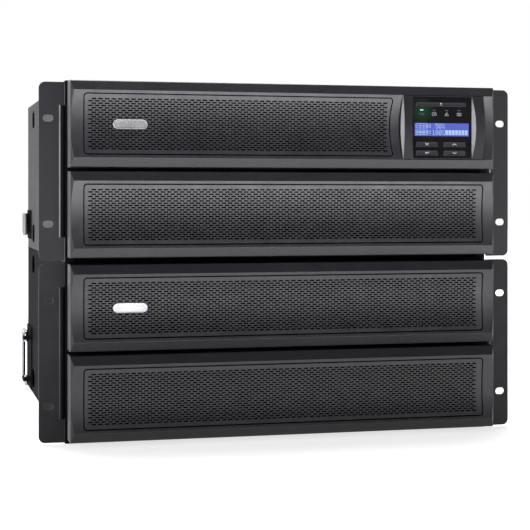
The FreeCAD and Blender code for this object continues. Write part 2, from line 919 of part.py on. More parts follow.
def make_heatsinks(unit, level):
    """Two finned extrusions in the path of the fans' air."""
    fin = D["fin"]
    width = D["fin_pitch"] * (FIN_COUNT - 1) + fin
    front = D["heatsink_front"]
    back = front + D["heatsink_length"]
    foot = level + D["heatsink_foot"]
    top = level + D["heatsink_height"]
    sinks = []
    for left in (D["heatsink_left"], D["heatsink_left"] + D["heatsink_step"]):
        pieces = [box("heatsink_foot", (left, front, level), (left + width, back, foot))]
        for number in range(FIN_COUNT):
            x = left + D["fin_pitch"] * number
            pieces.append(box("heatsink_fin", (x, front, foot), (x + fin, back, top)))
        sinks.append(fuse("heatsink", pieces))
    publish(group("heatsinks", sinks), "heatsinks", unit)


def make_transformer(unit, level):
    """Laminated core with one winding on its middle limb."""
    limb = D["transformer_limb"]
    over = D["winding_overhang"]
    left = D["transformer_left"]
    right = left + D["transformer_width"]
    front = D["transformer_front"]
    back = front + D["transformer_depth"]
    top = level + D["transformer_height"]
    low = level + limb
    high = top - limb
    outer = box("transformer_core", (left, front, level), (right, back, top))
    window = box("transformer_window", (left + limb, front, low), (right - limb, back, high))
    core = cut("transformer_limbs", outer, [window])
    winding = box("transformer_winding", (left + limb, front - over, low),
                  (right - limb, back + over, high))
    publish(group("transformer", [core, winding]), "transformer", unit)


def make_capacitors(unit, level):
    """A row of can capacitors."""
    cans = []
    for number in range(CAPACITOR_COUNT):
        y = D["capacitor_first"] + number * D["capacitor_pitch"]
        cans.append(rod_along_z("capacitor", D["capacitor_radius"], D["capacitor_height"],
                                D["capacitor_across"], y, level))
    publish(group("capacitors", cans), "capacitors", unit)


# ---------------------------------------------------------------- rear of the supply

def fan_centre(number):
    return D["fan_first"] + number * D["fan_pitch"]


def make_fan_frames(unit):
    """Two square frames, each with a motor mount on crossed struts."""
    frames = []
    back = D["case_back"]
    front = back - D["fan_thick"]
    level = D["fan_level"]
    half = D["fan_size"] / 2
    arm = D["fan_strut"] / 2
    strut_back = front + D["fan_strut_depth"]
    for number in range(FAN_COUNT):
        x = fan_centre(number)
        block = box("fan_block", (x - half, front, level - half), (x + half, back, level + half))
        bore = rod_along_y("fan_bore", D["fan_bore"], D["fan_thick"] + 2, x, front - 1, level)
        mount = rod_along_y("fan_mount", D["fan_hub"], D["fan_mount"], x, front, level)
        struts = []
        for across, up in ((half - 1, arm), (arm, half - 1)):
            struts.append(box("fan_strut", (x - across, front, level - up),
                              (x + across, strut_back, level + up)))
        frame = fuse("fan_frame_solid", [cut("fan_ring", block, [bore]), mount] + struts)
        pin_hole = rod_along_y("fan_pin_hole", D["fan_shaft"] + D["shaft_gap"], D["fan_mount"] + 2,
                               x, front - 1, level)
        frames.append(cut("fan_frame", frame, [pin_hole]))
    publish(group("fan_frames", frames), "fan_frames", unit)


def make_fan_guards(unit):
    """Finger guards of concentric rings and two crossed bars."""
    guards = []
    back = D["case_back"] + D["sheet"]
    level = D["fan_level"]
    wire = D["guard_wire"]
    reach = D["fan_size"] / 2
    for number in range(FAN_COUNT):
        x = fan_centre(number)
        pieces = []
        for ring in range(GUARD_RINGS):
            radius = D["guard_first"] + D["guard_pitch"] * ring
            disc = rod_along_y("guard_disc", radius + wire / 2, D["guard_plate"], x, back, level)
            hole = rod_along_y("guard_hole", radius - wire / 2, D["guard_plate"] + 2, x, back - 1, level)
            pieces.append(cut("guard_ring", disc, [hole]))
        for across, up in ((reach, wire / 2), (wire / 2, reach)):
            pieces.append(box("guard_bar", (x - across, back, level - up),
                              (x + across, back + D["guard_plate"], level + up)))
        guards.append(fuse("fan_guard", pieces))
    publish(group("fan_guards", guards), "fan_guards", unit)


def make_impeller(unit, number, node):
    """Hub, shaft and pitched blades, spinning about Y."""
    body = new_body(node)
    hub = new_sketch(body, "XZ_Plane", 0)
    add_circle(hub, (0, 0), D["fan_hub"])
    pad(body, hub, D["fan_hub_depth"], reverse=True)
    shaft = new_sketch(body, "XZ_Plane", 0)
    add_circle(shaft, (0, 0), D["fan_shaft"])
    pad(body, shaft, D["fan_shaft_length"])
    blade = new_sketch(body, "YZ_Plane", D["fan_hub"] - 1)
    start = D["blade_depth"] / 2
    skew = D["blade_skew"]
    thick = D["blade_sheet"]
    add_outline(blade, [(1, -start), (1 + thick, -start), (1 + thick + skew, start), (1 + skew, start)])
    pad(body, blade, D["fan_blade"] + 1)
    doc.recompute()
    pattern = body.newObject("PartDesign::PolarPattern", node + "_blades")
    pattern.Originals = [body.Tip]
    pattern.Axis = (origin_feature(body, "Y_Axis"), [""])
    pattern.Angle = 360
    pattern.Occurrences = BLADE_COUNT
    body.Tip = pattern
    front = D["case_back"] - D["fan_thick"]
    publish(body, node, unit, fan_centre(number), front + D["fan_stand_off"], D["fan_level"])


def outlet_corners():
    """Opposite corners of the outlet block's flange."""
    rim = D["socket_rim"] + D["socket_lip"]
    left = D["outlet_left"]
    low = D["outlet_low"]
    right = left + D["outlet_pitch_across"] * (OUTLET_COLUMNS - 1) + D["outlet_width"] + rim * 2
    high = low + D["outlet_pitch_up"] * (OUTLET_ROWS - 1) + D["outlet_height"] + rim * 2
    return (left, low), (right, high)


def inlet_corners():
    rim = D["socket_rim"] + D["socket_lip"]
    left = D["inlet_left"]
    low = D["inlet_low"]
    return (left - rim, low - rim), (left + D["inlet_width"] + rim, low + D["inlet_height"] + rim)


def link_corners(left):
    rim = D["socket_rim"] + D["socket_lip"]
    low = D["link_low"]
    return (left - rim, low - rim), (left + D["link_width"] + rim, low + D["link_height"] + rim)


def port_corners():
    rim = D["socket_rim"]
    left = D["port_left"]
    low = D["port_low"]
    right = left + D["port_pitch"] * (PORT_COUNT - 1) + D["port_size"]
    return (left - rim, low - rim), (right + rim, low + D["port_size"] + rim)


def socket_hole(name, x, z, width, height, deep):
    """The hollow of one socket, open to the back."""
    face = D["case_back"] + D["sheet"] + D["socket_flange"]
    return box(name, (x, face - deep, z), (x + width, face + OVERRUN, z + height))


def socket_block(name, corners, sockets):
    """A body behind the panel with a flange outside it, and its sockets cut in."""
    low, high = corners
    back = D["case_back"] + D["sheet"]
    rim = D["socket_rim"] / 2
    flange = box(name + "_flange", (low[0], back, low[1]), (high[0], back + D["socket_flange"], high[1]))
    inner = box(name + "_body", (low[0] + rim, back - D["socket_body"], low[1] + rim),
                (high[0] - rim, back, high[1] - rim))
    return cut(name, fuse(name + "_solid", [flange, inner]), sockets)


def make_outlets(unit):
    """Moulded block of six power outlets, three across and two up."""
    rim = D["socket_rim"] + D["socket_lip"]
    sockets = []
    for column in range(OUTLET_COLUMNS):
        for row in range(OUTLET_ROWS):
            x = D["outlet_left"] + rim + D["outlet_pitch_across"] * column
            z = D["outlet_low"] + rim + D["outlet_pitch_up"] * row
            sockets.append(socket_hole("outlet_socket", x, z, D["outlet_width"], D["outlet_height"],
                                       D["outlet_deep"]))
    publish(socket_block("outlet_block", outlet_corners(), sockets), "outlet_block", unit)


def make_inlet(unit):
    """Power inlet with three blade pins."""
    left = D["inlet_left"]
    low = D["inlet_low"]
    socket = socket_hole("inlet_socket", left, low, D["inlet_width"], D["inlet_height"], D["inlet_deep"])
    shell = socket_block("inlet_shell", inlet_corners(), [socket])
    floor = D["case_back"] + D["sheet"] + D["socket_flange"] - D["inlet_deep"]
    middle = left + D["inlet_width"] / 2
    centre = low + D["inlet_height"] / 2
    half_width = D["inlet_pin_width"] / 2
    half_height = D["inlet_pin_height"] / 2
    reach = D["inlet_pin_reach"]
    pins = []
    for x, z in ((middle - reach, centre - D["inlet_pin_drop"]),
                 (middle + reach, centre - D["inlet_pin_drop"]),
                 (middle, centre + D["inlet_pin_rise"])):
        pins.append(box("inlet_pin", (x - half_width, floor, z - half_height),
                        (x + half_width, floor + D["inlet_pin_length"], z + half_height)))
    publish(fuse("input_inlet", [shell] + pins), "input_inlet", unit)


def make_link_sockets(unit, lefts):
    """Battery link sockets on the back."""
    name = unit["name"] + "_link_socket"
    blocks = []
    for left in lefts:
        socket = socket_hole("link_socket", left, D["link_low"], D["link_width"], D["link_height"],
                             D["outlet_deep"])
        blocks.append(socket_block("link_block", link_corners(left), [socket]))
    publish(group(name, blocks), name, unit)


def make_data_ports(unit):
    """Three signal sockets side by side."""
    size = D["port_size"]
    sockets = []
    for number in range(PORT_COUNT):
        x = D["port_left"] + D["port_pitch"] * number
        sockets.append(socket_hole("port_socket", x, D["port_low"], size, size, D["port_deep"]))
    publish(socket_block("data_ports", port_corners(), sockets), "data_ports", unit)


def make_card_slot_cover(unit):
    """Blank plate over the accessory card slot, with two thumbscrews."""
    back = D["case_back"] + D["sheet"]
    left = D["card_left"]
    low = D["card_low"]
    right = left + D["card_width"]
    high = low + D["card_height"]
    pieces = [box("card_plate", (left, back, low), (right, back + D["sheet"], high))]
    for x in (left + D["card_screw_inset"], right - D["card_screw_inset"]):
        pieces.append(rod_along_y("card_screw", D["card_screw_radius"], D["socket_flange"],
                                  x, back, (low + high) / 2))
    publish(fuse("card_slot_cover", pieces), "card_slot_cover", unit)


def make_breakers(unit):
    """Two reset buttons that stand in the back panel."""
    length = D["breaker_length"]
    front = D["case_back"] + D["sheet"] + D["socket_flange"] - D["breaker_sunk"] - length
    for number, node in enumerate(("breaker_left", "breaker_right")):
        x = breaker_centre(number)
        button = rod_along_y(node, D["breaker_radius"], length, x, front, D["breaker_level"])
        publish(button, node, unit, x, front, D["breaker_level"])


def breaker_centre(number):
    return D["breaker_first"] + number * D["breaker_pitch"]


def add_block_cutout(sketch, corners):
    """Opening for the body of a socket block, which its flange covers."""
    low, high = corners
    inset = D["socket_rim"] / 2
    add_rectangle(sketch, (low[0] + inset, low[1] + inset), (high[0] - inset, high[1] - inset))


def add_supply_cutouts(sketch):
    """Panel openings for the fans, sockets, buttons and card slot."""
    for number in range(FAN_COUNT):
        add_circle(sketch, (fan_centre(number), D["fan_level"]), D["fan_bore"] - 1)
    for number in range(BREAKER_COUNT):
        centre = (breaker_centre(number), D["breaker_level"])
        add_circle(sketch, centre, D["breaker_radius"] + D["breaker_gap"])
    for corners in (outlet_corners(), inlet_corners(), port_corners(), link_corners(D["link_left"])):
        add_block_cutout(sketch, corners)
    across = D["card_edge_across"]
    up = D["card_edge_up"]
    add_rectangle(sketch, (D["card_left"] + across, D["card_low"] + up),
                  (D["card_left"] + D["card_width"] - across, D["card_low"] + D["card_height"] - up))


def add_pack_cutouts(sketch):
    for left in pack_link_lefts():
        add_block_cutout(sketch, link_corners(left))


def pack_link_lefts():
    return [D["link_left"], D["link_left"] + D["link_pitch"]]


# ---------------------------------------------------------------- side hardware

def make_bail(unit, side, node):
    """Folding wire handle. Its hinge axis is the body's own Z axis; it lies back along the case."""
    body = new_body(node)
    path = new_sketch(body, "YZ_Plane", 0)
    low = D["bail_low"] + D["bail_wire"]
    high = D["bail_high"] - D["bail_wire"]
    reach = D["bail_reach"]
    stub = D["bail_stub"]
    points = [(0, low + stub), (0, low), (reach, low), (reach, high), (0, high), (0, high - stub)]
    for start, end in zip(points, points[1:]):
        flat = [FreeCAD.Vector(value_of(p[0]), value_of(p[1]), 0) for p in (start, end)]
        edge = path.addGeometry(Part.LineSegment(*flat))
        pin_point(path, edge, 1, start)
        pin_point(path, edge, 2, end)
    ring = new_sketch(body, "XY_Plane", low + D["bail_stub"])
    add_circle(ring, (0, 0), D["bail_wire"])
    doc.recompute()
    pipe = body.newObject("PartDesign::AdditivePipe", node + "_wire")
    pipe.Profile = ring
    pipe.Spine = (path, [])
    pipe.Transition = "Round corner"
    publish(body, node, unit, side * D["bail_offset"], D["bail_hinge_back"], 0)


def make_side_brackets(pack, supply):
    """Backing plates near the back: hinge brackets for the pack's handles, plain ones above."""
    pieces = []
    wall = D["case_half"]
    plate = wall + D["bracket_plate"]
    lift = supply["base"]
    gap = D["shaft_gap"]
    for side in (-1, 1):
        pieces.append(hinge_bracket(side, wall, plate, gap))
        low, high = side_span(side, wall, plate)
        margin = D["tab_margin"]
        pieces.append(box("upper_bracket", (low, D["tab_front"] - margin, lift + D["tab_low"] - margin),
                          (high, D["tab_back"], lift + D["tab_high"] + margin)))
    publish(group("side_brackets", pieces), "side_brackets", pack)


def hinge_bracket(side, wall, plate, gap):
    """A backing plate with two bored lugs that hold a handle's stubs."""
    low, high = side_span(side, wall, plate)
    base = box("hinge_plate", (low, D["bracket_front"], D["bracket_low"]),
               (high, D["case_back"], D["bracket_high"]))
    lugs = []
    hinge = D["bail_hinge_back"]
    out = D["bail_offset"] + D["bail_wire"] + D["lug_wall"]
    low_x, high_x = side_span(side, plate, out)
    end_room = 2 * D["bail_wire"] + D["lug_clear"]
    first = D["bail_low"] + end_room
    last = D["bail_high"] - end_room
    for bottom in (first, last - D["lug_height"]):
        lug = box("hinge_lug", (low_x, hinge - D["lug_half"], bottom),
                  (high_x, hinge + D["lug_half"], bottom + D["lug_height"]))
        bore = rod_along_z("hinge_bore", D["bail_wire"] + gap, D["lug_height"] + 2,
                           side * D["bail_offset"], hinge, bottom - 1)
        lugs.append(cut("hinge_ear", lug, [bore]))
    return fuse("hinge_bracket", [base] + lugs)


def make_side_tabs(unit):
    """Bright formed tabs standing off the supply's side plates."""
    tabs = []
    for side in (-1, 1):
        near = D["case_half"] + D["bracket_plate"]
        out = D["tab_offset"] + D["tab_plate"]
        low, high = side_span(side, D["tab_offset"], out)
        face = box("tab_face", (low, D["tab_front"], D["tab_low"]), (high, D["tab_back"], D["tab_high"]))
        low, high = side_span(side, near, out)
        web = box("tab_web", (low, D["tab_back"] - D["tab_plate"], D["tab_low"]),
                  (high, D["tab_back"], D["tab_high"]))
        tabs.append(fuse("side_tab", [face, web]))
    publish(group("ups_side_tabs", tabs), "ups_side_tabs", unit)


def make_case_screws(unit_list):
    """Screw heads on the ears' flanges."""
    heads = []
    outer = D["case_half"] + D["ear_plate"]
    first = D["ear_screw_first"]
    rise = D["ear_screw_rise"]
    for unit in unit_list:
        middle = unit["base"] + D["unit_height"] / 2
        for side in (-1, 1):
            for y in (first, first + D["ear_screw_pitch"]):
                for z in (middle - rise, middle + rise):
                    heads.append(screw_head(side, outer, y, z))
    publish(group("case_screws", heads), "case_screws", unit_list[0])


def screw_head(side, wall, y, z):
    """A low cylinder standing on a side wall."""
    head = doc.addObject("Part::Cylinder", "screw_head")
    bind(head, "Radius", D["ear_screw_radius"])
    bind(head, "Height", D["ear_screw_head"])
    head.Placement.Rotation = FreeCAD.Rotation(FreeCAD.Vector(0, 1, 0), 90 * side)
    for axis, size in zip("xyz", (side * wall, y, z)):
        bind(head, "Placement.Base." + axis, size)
    return head


# ---------------------------------------------------------------- assembly

def make_case(unit, add_cutouts):
    """Everything that the two units have in common."""
    name = unit["name"]
    make_chassis(unit)
    make_top_cover(unit)
    make_front_frame(unit)
    make_rear_panel(unit, add_cutouts)
    for side in (-1, 1):
        make_ear(unit, side)
    is_supply = name == "ups"
    make_bezel(name + "_upper_bezel", unit, 1, is_supply)
    make_bezel(name + "_lower_bezel", unit, 0, False)
    make_grille(name + "_upper_grille", unit, 1, D["short_grille_end"] if is_supply else D["grille_half"])
    make_grille(name + "_lower_grille", unit, 0, D["grille_half"])
    make_badge(unit)


def make_supply(unit):
    make_case(unit, add_supply_cutouts)
    make_display_housing(unit)
    make_display_parts(unit)
    make_keys(unit)
    make_air_filter(unit)
    make_drawer(unit, "battery", D["sheet"])
    level = make_power_board(unit)
    make_heatsinks(unit, level)
    make_transformer(unit, level)
    make_capacitors(unit, level)
    make_fan_frames(unit)
    make_fan_guards(unit)
    make_impeller(unit, 0, "fan_impeller_left")
    make_impeller(unit, 1, "fan_impeller_right")
    make_outlets(unit)
    make_inlet(unit)
    make_breakers(unit)
    make_card_slot_cover(unit)
    make_data_ports(unit)
    make_link_sockets(unit, [D["link_left"]])
    make_side_tabs(unit)


def make_pack(unit):
    make_case(unit, add_pack_cutouts)
    make_drawer(unit, "lower", D["sheet"])
    make_drawer(unit, "upper", shelf_top())
    make_link_sockets(unit, pack_link_lefts())
    make_bail(unit, -1, "pack_handle_left")
    make_bail(unit, 1, "pack_handle_right")


def check_document():
    """Stop if anything in the document failed to build."""
    doc.recompute()
    for obj in doc.Objects:
        if "Invalid" in obj.State or "Error" in obj.State:
            raise RuntimeError("%s did not build: %s" % (obj.Label, obj.State))
    for obj in parts:
        if obj.Shape.isNull() or not obj.Shape.isValid():
            raise RuntimeError("%s has no valid shape" % obj.Label)


def write_parts():
    os.makedirs("parts", exist_ok=True)
    for obj in parts:
        obj.Shape.exportStep("parts/%s.step" % obj.Label)
        print(obj.Label, len(obj.Shape.Solids), round(obj.Shape.Volume))


pack = {"name": "pack", "base": Dim("0", 0)}
supply = {"name": "ups", "base": D["unit_height"]}
make_pack(pack)
make_supply(supply)
make_side_brackets(pack, supply)
make_case_screws([pack, supply])
check_document()
write_parts()
print(len(parts), "sub-parts")
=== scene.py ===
"""Looks of a rack-mount power supply standing on its battery pack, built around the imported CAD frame.

Sizes are written in millimetres and turned into metres by MM. X runs to the right along the front, the
front faces -Y and Z is up, as in the CAD. Depths are measured back from the front face of the rack ears.
"""
import json
import math

import bmesh
import bpy
from mathutils import Matrix, Vector


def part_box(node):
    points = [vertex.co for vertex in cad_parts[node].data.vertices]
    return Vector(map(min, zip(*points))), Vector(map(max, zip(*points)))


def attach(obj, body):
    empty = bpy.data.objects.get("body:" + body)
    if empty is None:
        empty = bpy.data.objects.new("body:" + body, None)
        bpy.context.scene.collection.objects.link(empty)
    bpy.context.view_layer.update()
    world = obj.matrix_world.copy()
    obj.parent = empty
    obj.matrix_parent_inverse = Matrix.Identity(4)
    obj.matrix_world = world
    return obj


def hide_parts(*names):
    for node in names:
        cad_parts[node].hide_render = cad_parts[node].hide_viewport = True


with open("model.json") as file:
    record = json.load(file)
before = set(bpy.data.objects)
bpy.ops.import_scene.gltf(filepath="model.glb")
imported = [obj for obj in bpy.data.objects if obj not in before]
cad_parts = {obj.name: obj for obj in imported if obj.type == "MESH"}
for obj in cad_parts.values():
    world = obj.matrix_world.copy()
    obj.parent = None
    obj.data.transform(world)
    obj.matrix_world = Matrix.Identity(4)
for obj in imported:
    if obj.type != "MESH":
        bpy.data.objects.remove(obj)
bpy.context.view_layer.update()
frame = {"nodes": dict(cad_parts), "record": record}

MM = 0.001
EAR_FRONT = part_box("ups_ear_left")[0].y
UNITS = {"pack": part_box("pack_chassis")[0].z, "ups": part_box("ups_chassis")[0].z}

# ---- measures shared by several pieces, in millimetres

FACE_HOLLOW = 3.0
RIDGE = -30.0
SHOULDER = -25.0
BEZEL_BACK = -1.0
BEZEL_BEVEL = 9.0
BEZEL_WALL = 2.6
BEZEL_INSIDE = -23.5
THROUGH_FRONT = (-45.0, 5.0)
END_BEVEL = (3.1, 3.4)
GRILLE_HALF_HEIGHT = 28.2
GRILLE_HALF_LENGTH = 200.8
SHORT_GRILLE_END = 104.9
SHORT_GRILLE_BOW = 2.6
GROOVE = 1.1
GRILLE_CORNER = 2.2
GRILLE_SUNK = 0.25
GRILLE_SKIN = 1.5
ROWS = 23
ROW_STEP = 2.15
SLOT_STEP = 6.3
SLOT_LENGTH = 4.7
SLOT_HEIGHT = 1.4
FIELD_HALF = 197.5
FIELD_MARGIN = 4.6

DISPLAY_CENTRE = 158.6
DISPLAY_HALF = 42.4
DISPLAY_FLARE = 2.9
DISPLAY_BULGE = 4.0
DISPLAY_GAP = 0.5
FASCIA_MARGIN = 0.8
WELL_DRAFT = 0.8
RAIL_OVERLAP = 4.0
DISPLAY_FOOT = 1.8
KEY_GAP = 0.35
LENS_WIDTH = 3.4
LENS_HEIGHT = 1.0
ICON_DROP = 4.0
KEYS = {"power_button": "power_key", "escape_button": "escape_key", "up_button": "up_key",
        "enter_button": "enter_key", "down_button": "down_key"}


DISPLAY_MIDDLE = sum(corner.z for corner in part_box("display_housing")) / 2 / MM
DISPLAY_HALF_HEIGHT = (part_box("display_housing")[1].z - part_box("display_housing")[0].z) / 2 / MM
FASCIA_LEFT, FASCIA_RIGHT = (corner.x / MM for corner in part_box("display_fascia"))


def depth(mm):
    """The row frame's Y of a depth behind the front of the ears."""
    return EAR_FRONT + mm * MM


def node_box(name):
    """A CAD node's low corner, high corner and middle in millimetres, with depths measured from the ears."""
    low, high = ([at.x / MM, (at.y - EAR_FRONT) / MM, at.z / MM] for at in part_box(name))
    return low, high, [(a + b) / 2 for a, b in zip(low, high)]


# ---- outlines

def arc_sag(offset, half_chord, rise):
    """How far an arc over a chord stands off it, at an offset from the chord's middle."""
    radius = (half_chord * half_chord + rise * rise) / (2 * rise)
    return math.sqrt(max(radius * radius - offset * offset, 0.0)) - (radius - rise)


def rounded(points, radii, steps=4):
    """The outline with each corner replaced by an arc of its radius, with 0 for a sharp one."""
    out = []
    for number, (corner, radius) in enumerate(zip(points, radii)):
        corner = Vector(corner)
        before = Vector(points[number - 1]) - corner
        after = Vector(points[(number + 1) % len(points)]) - corner
        if radius <= 0:
            out.append(tuple(corner))
            continue
        before.normalize()
        after.normalize()
        half = before.angle(after) / 2
        spoke = before * (radius / math.tan(half)) - (before + after).normalized() * (radius / math.sin(half))
        centre = corner + (before + after).normalized() * (radius / math.sin(half))
        turn = math.copysign(math.pi - 2 * half, -before.cross(after))
        for step in range(steps + 1):
            out.append(tuple(centre + Matrix.Rotation(turn * step / steps, 2) @ spoke))
    return out


def rectangle(left, low, right, high, radius=0.0, steps=4):
    corners = [(left, low), (right, low), (right, high), (left, high)]
    return rounded(corners, [radius] * 4, steps)


def pane(x, z, half_wide, half_tall, radius=0.0, steps=4):
    """A rectangle about its middle."""
    return rectangle(x - half_wide, z - half_tall, x + half_wide, z + half_tall, radius, steps)


def circle(x, z, radius, steps=24):
    return [(x + radius * math.cos(math.tau * n / steps), z + radius * math.sin(math.tau * n / steps))
            for n in range(steps)]


# ---- mesh making

ACROSS = {"x": (1, 2, 0), "y": (0, 2, 1), "z": (0, 1, 2)}


def place(axis, a, b, level):
    """A point from its two coordinates across an axis and the one along it."""
    at = [0.0, 0.0, 0.0]
    first, second, along = ACROSS[axis]
    at[first], at[second], at[along] = a, b, level
    return at


def prism(axis, outline, start, end):
    return loft([[place(axis, a, b, level) for a, b in outline] for level in (start, end)])


def loft(rings, closed=False):
    """A solid through rings of points: capped at both ends, or joined end to end when closed."""
    bm = bmesh.new()
    made = [[bm.verts.new(point) for point in ring] for ring in rings]
    for near, far in zip(made, made[1:] + made[:1] if closed else made[1:]):
        for i in range(len(near)):
            j = (i + 1) % len(near)
            bm.faces.new((near[i], near[j], far[j], far[i]))
    if not closed:
        bm.faces.new(made[0])
        bm.faces.new(made[-1])
    bmesh.ops.remove_doubles(bm, verts=bm.verts, dist=1e-7)
    bmesh.ops.dissolve_degenerate(bm, edges=bm.edges, dist=1e-7)
    bmesh.ops.recalc_face_normals(bm, faces=bm.faces)
    return bm


def turned(axis, centre, profile, sides=32):
    """A solid of revolution: profile gives (radius, level) pairs along the axis."""
    return loft([[place(axis, a, b, level) for a, b in circle(*centre, radius, sides)]
                 for radius, level in profile])


def tube(points, radius, normal, closed=False, sides=12):
    """A round wire along points in one plane; normal stands on that plane."""
    normal = Vector(normal)
    points = [Vector(point) for point in points]
    last = len(points) - 1
    rings = []
    for n, point in enumerate(points):
        before = points[n - 1] if n or closed else point
        after = points[(n + 1) % len(points)] if n < last or closed else point
        across = (after - before).normalized().cross(normal)
        rings.append([point + (normal * math.cos(a) + across * math.sin(a)) * radius
                      for a in (math.tau * k / sides for k in range(sides))])
    return loft(rings, closed)


def together(pieces):
    """Several solids in one mesh, left as they are."""
    whole = bmesh.new()
    for piece in pieces:
        mesh = bpy.data.meshes.new("part")
        piece.to_mesh(mesh)
        whole.from_mesh(mesh)
        bpy.data.meshes.remove(mesh)
        piece.free()
    return whole


def held(bm):
    """A temporary object with the mesh."""
    mesh = bpy.data.meshes.new("work")
    bm.to_mesh(mesh)
    bm.free()
    obj = bpy.data.objects.new("work", mesh)
    bpy.context.scene.collection.objects.link(obj)
    return obj


def dropped(obj):
    mesh = obj.data
    bpy.data.objects.remove(obj)
    bpy.data.meshes.remove(mesh)


def evaluated(obj):
    """The object's mesh with its modifiers applied, as a bmesh."""
    graph = bpy.context.evaluated_depsgraph_get()
    mesh = bpy.data.meshes.new_from_object(obj.evaluated_get(graph))
    bm = bmesh.new()
    bm.from_mesh(mesh)
    bpy.data.meshes.remove(mesh)
    return bm


def combined(base, tools, operation="DIFFERENCE"):
    """The base solid after a boolean with each tool."""
    body = held(base)
    helpers = [held(tool) for tool in tools]
    for helper in helpers:
        modifier = body.modifiers.new("combine", "BOOLEAN")
        modifier.object = helper
        modifier.operation = operation
        modifier.solver = "EXACT"
    bm = evaluated(body)
    for obj in [body] + helpers:
        dropped(obj)
    return bm


def softened(bm, width, segments=2, angle=30):
    """The solid with every edge sharper than the angle rounded."""
    obj = held(bm)
    modifier = obj.modifiers.new("round", "BEVEL")
    modifier.width = width
    modifier.segments = segments
    modifier.limit_method = "ANGLE"
    modifier.angle_limit = math.radians(angle)
    bm = evaluated(obj)
    dropped(obj)
    return bm


def make_piece(name, bm, material, body, replaces=(), smooth=32, extras=()):
    """Turn a mesh drawn in millimetres about the ear plane into a piece that rides on a body.

    extras are (material, test) pairs: faces that pass a test get that material instead.
    """
    for vert in bm.verts:
        x, y, z = vert.co
        vert.co = (x * MM, depth(y), z * MM)
    limit = math.radians(smooth)
    for face in bm.faces:
        face.smooth = True
    for edge in bm.edges:
        edge.smooth = len(edge.link_faces) == 2 and edge.calc_face_angle(math.pi) < limit
    for index, (_, test) in enumerate(extras, 1):
        for face in bm.faces:
            if test(face):
                face.material_index = index
    mesh = bpy.data.meshes.new(name)
    bm.to_mesh(mesh)
    bm.free()
    for used in [material] + [extra for extra, _ in extras]:
        mesh.materials.append(MATERIALS[used])
    obj = bpy.data.objects.new(name, mesh)
    bpy.context.scene.collection.objects.link(obj)
    normals = obj.modifiers.new("normals", "WEIGHTED_NORMAL")
    normals.keep_sharp = True
    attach(obj, body)
    if replaces:
        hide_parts(*replaces)
    return obj


# ---- materials

class Nodes:
    """A short way to write a material's node tree."""

    def __init__(self, name):
        self.material = bpy.data.materials.new(name)
        self.material.use_nodes = True
        self.tree = self.material.node_tree
        self.shader = self.tree.nodes["Principled BSDF"]
        self.coords = self.add("ShaderNodeTexCoord").outputs["Object"]

    def add(self, kind, **settings):
        node = self.tree.nodes.new(kind)
        for key, value in settings.items():
            setattr(node, key, value)
        return node

    def link(self, source, target):
        self.tree.links.new(source, target)

    def noise(self, per_metre, detail=3.0):
        """Noise with so many features to the metre."""
        node = self.add("ShaderNodeTexNoise")
        node.inputs["Scale"].default_value = per_metre
        node.inputs["Detail"].default_value = detail
        node.inputs["Roughness"].default_value = 0.55
        self.link(self.coords, node.inputs["Vector"])
        return node.outputs["Fac"]

    def ramp(self, factor, low, high, from_low=0.3, from_high=0.7):
        """The factor's middle range spread over low to high."""
        node = self.add("ShaderNodeMapRange")
        node.inputs["From Min"].default_value = from_low
        node.inputs["From Max"].default_value = from_high
        node.inputs["To Min"].default_value = low
        node.inputs["To Max"].default_value = high
        self.link(factor, node.inputs["Value"])
        return node.outputs["Result"]

    def blend(self, factor, first, second):
        """A colour between two colours or colour sockets."""
        node = self.add("ShaderNodeMix", data_type="RGBA")
        self.link(factor, node.inputs["Factor"])
        for socket, colour in ((node.inputs["A"], first), (node.inputs["B"], second)):
            if isinstance(colour, bpy.types.NodeSocket):
                self.link(colour, socket)
            else:
                socket.default_value = (*colour, 1.0)
        return node.outputs["Result"]

    def bump(self, height, strength, distance_mm):
        node = self.add("ShaderNodeBump")
        node.inputs["Strength"].default_value = strength
        node.inputs["Distance"].default_value = distance_mm * MM
        self.link(height, node.inputs["Height"])
        return node.outputs["Normal"]

    def spill(self, centre, reach, colour, strength):
        """Painted glow: emission round a point of the row frame that stands for coloured light spilling from
        it.
        """
        distance = self.add("ShaderNodeVectorMath", operation="DISTANCE")
        distance.inputs[1].default_value = centre
        self.link(self.coords, distance.inputs[0])
        near = self.ramp(distance.outputs["Value"], 1.0, 0.0, 0.0, reach)
        self.link(self.ramp(near, 0.0, strength, 0.0, 1.0), self.shader.inputs["Emission Strength"])
        self.shader.inputs["Emission Color"].default_value = (*colour, 1.0)

    def painted_front_shade(self, base, start, end, dark):
        """Painted shade: the base colour darkened towards the front between two depths in millimetres."""
        parts = self.add("ShaderNodeSeparateXYZ")
        self.link(self.coords, parts.inputs["Vector"])
        return self.blend(self.ramp(parts.outputs["Y"], 0.0, 1.0, depth(start), depth(end)), dark, base)

    def worn_edges(self, amount):
        """A factor that rises on outward edges, broken up by noise."""
        geometry = self.add("ShaderNodeNewGeometry")
        edges = self.ramp(geometry.outputs["Pointiness"], 0.0, amount, 0.505, 0.57)
        patches = self.ramp(self.noise(90.0), 0.2, 1.0)
        node = self.add("ShaderNodeMath", operation="MULTIPLY", use_clamp=True)
        self.link(edges, node.inputs[0])
        self.link(patches, node.inputs[1])
        return node.outputs["Value"]


def shade_of(colour, factor):
    return tuple(min(channel * factor, 1.0) for channel in colour)


CLOUD = 0.14
EDGE_WEAR = 0.25


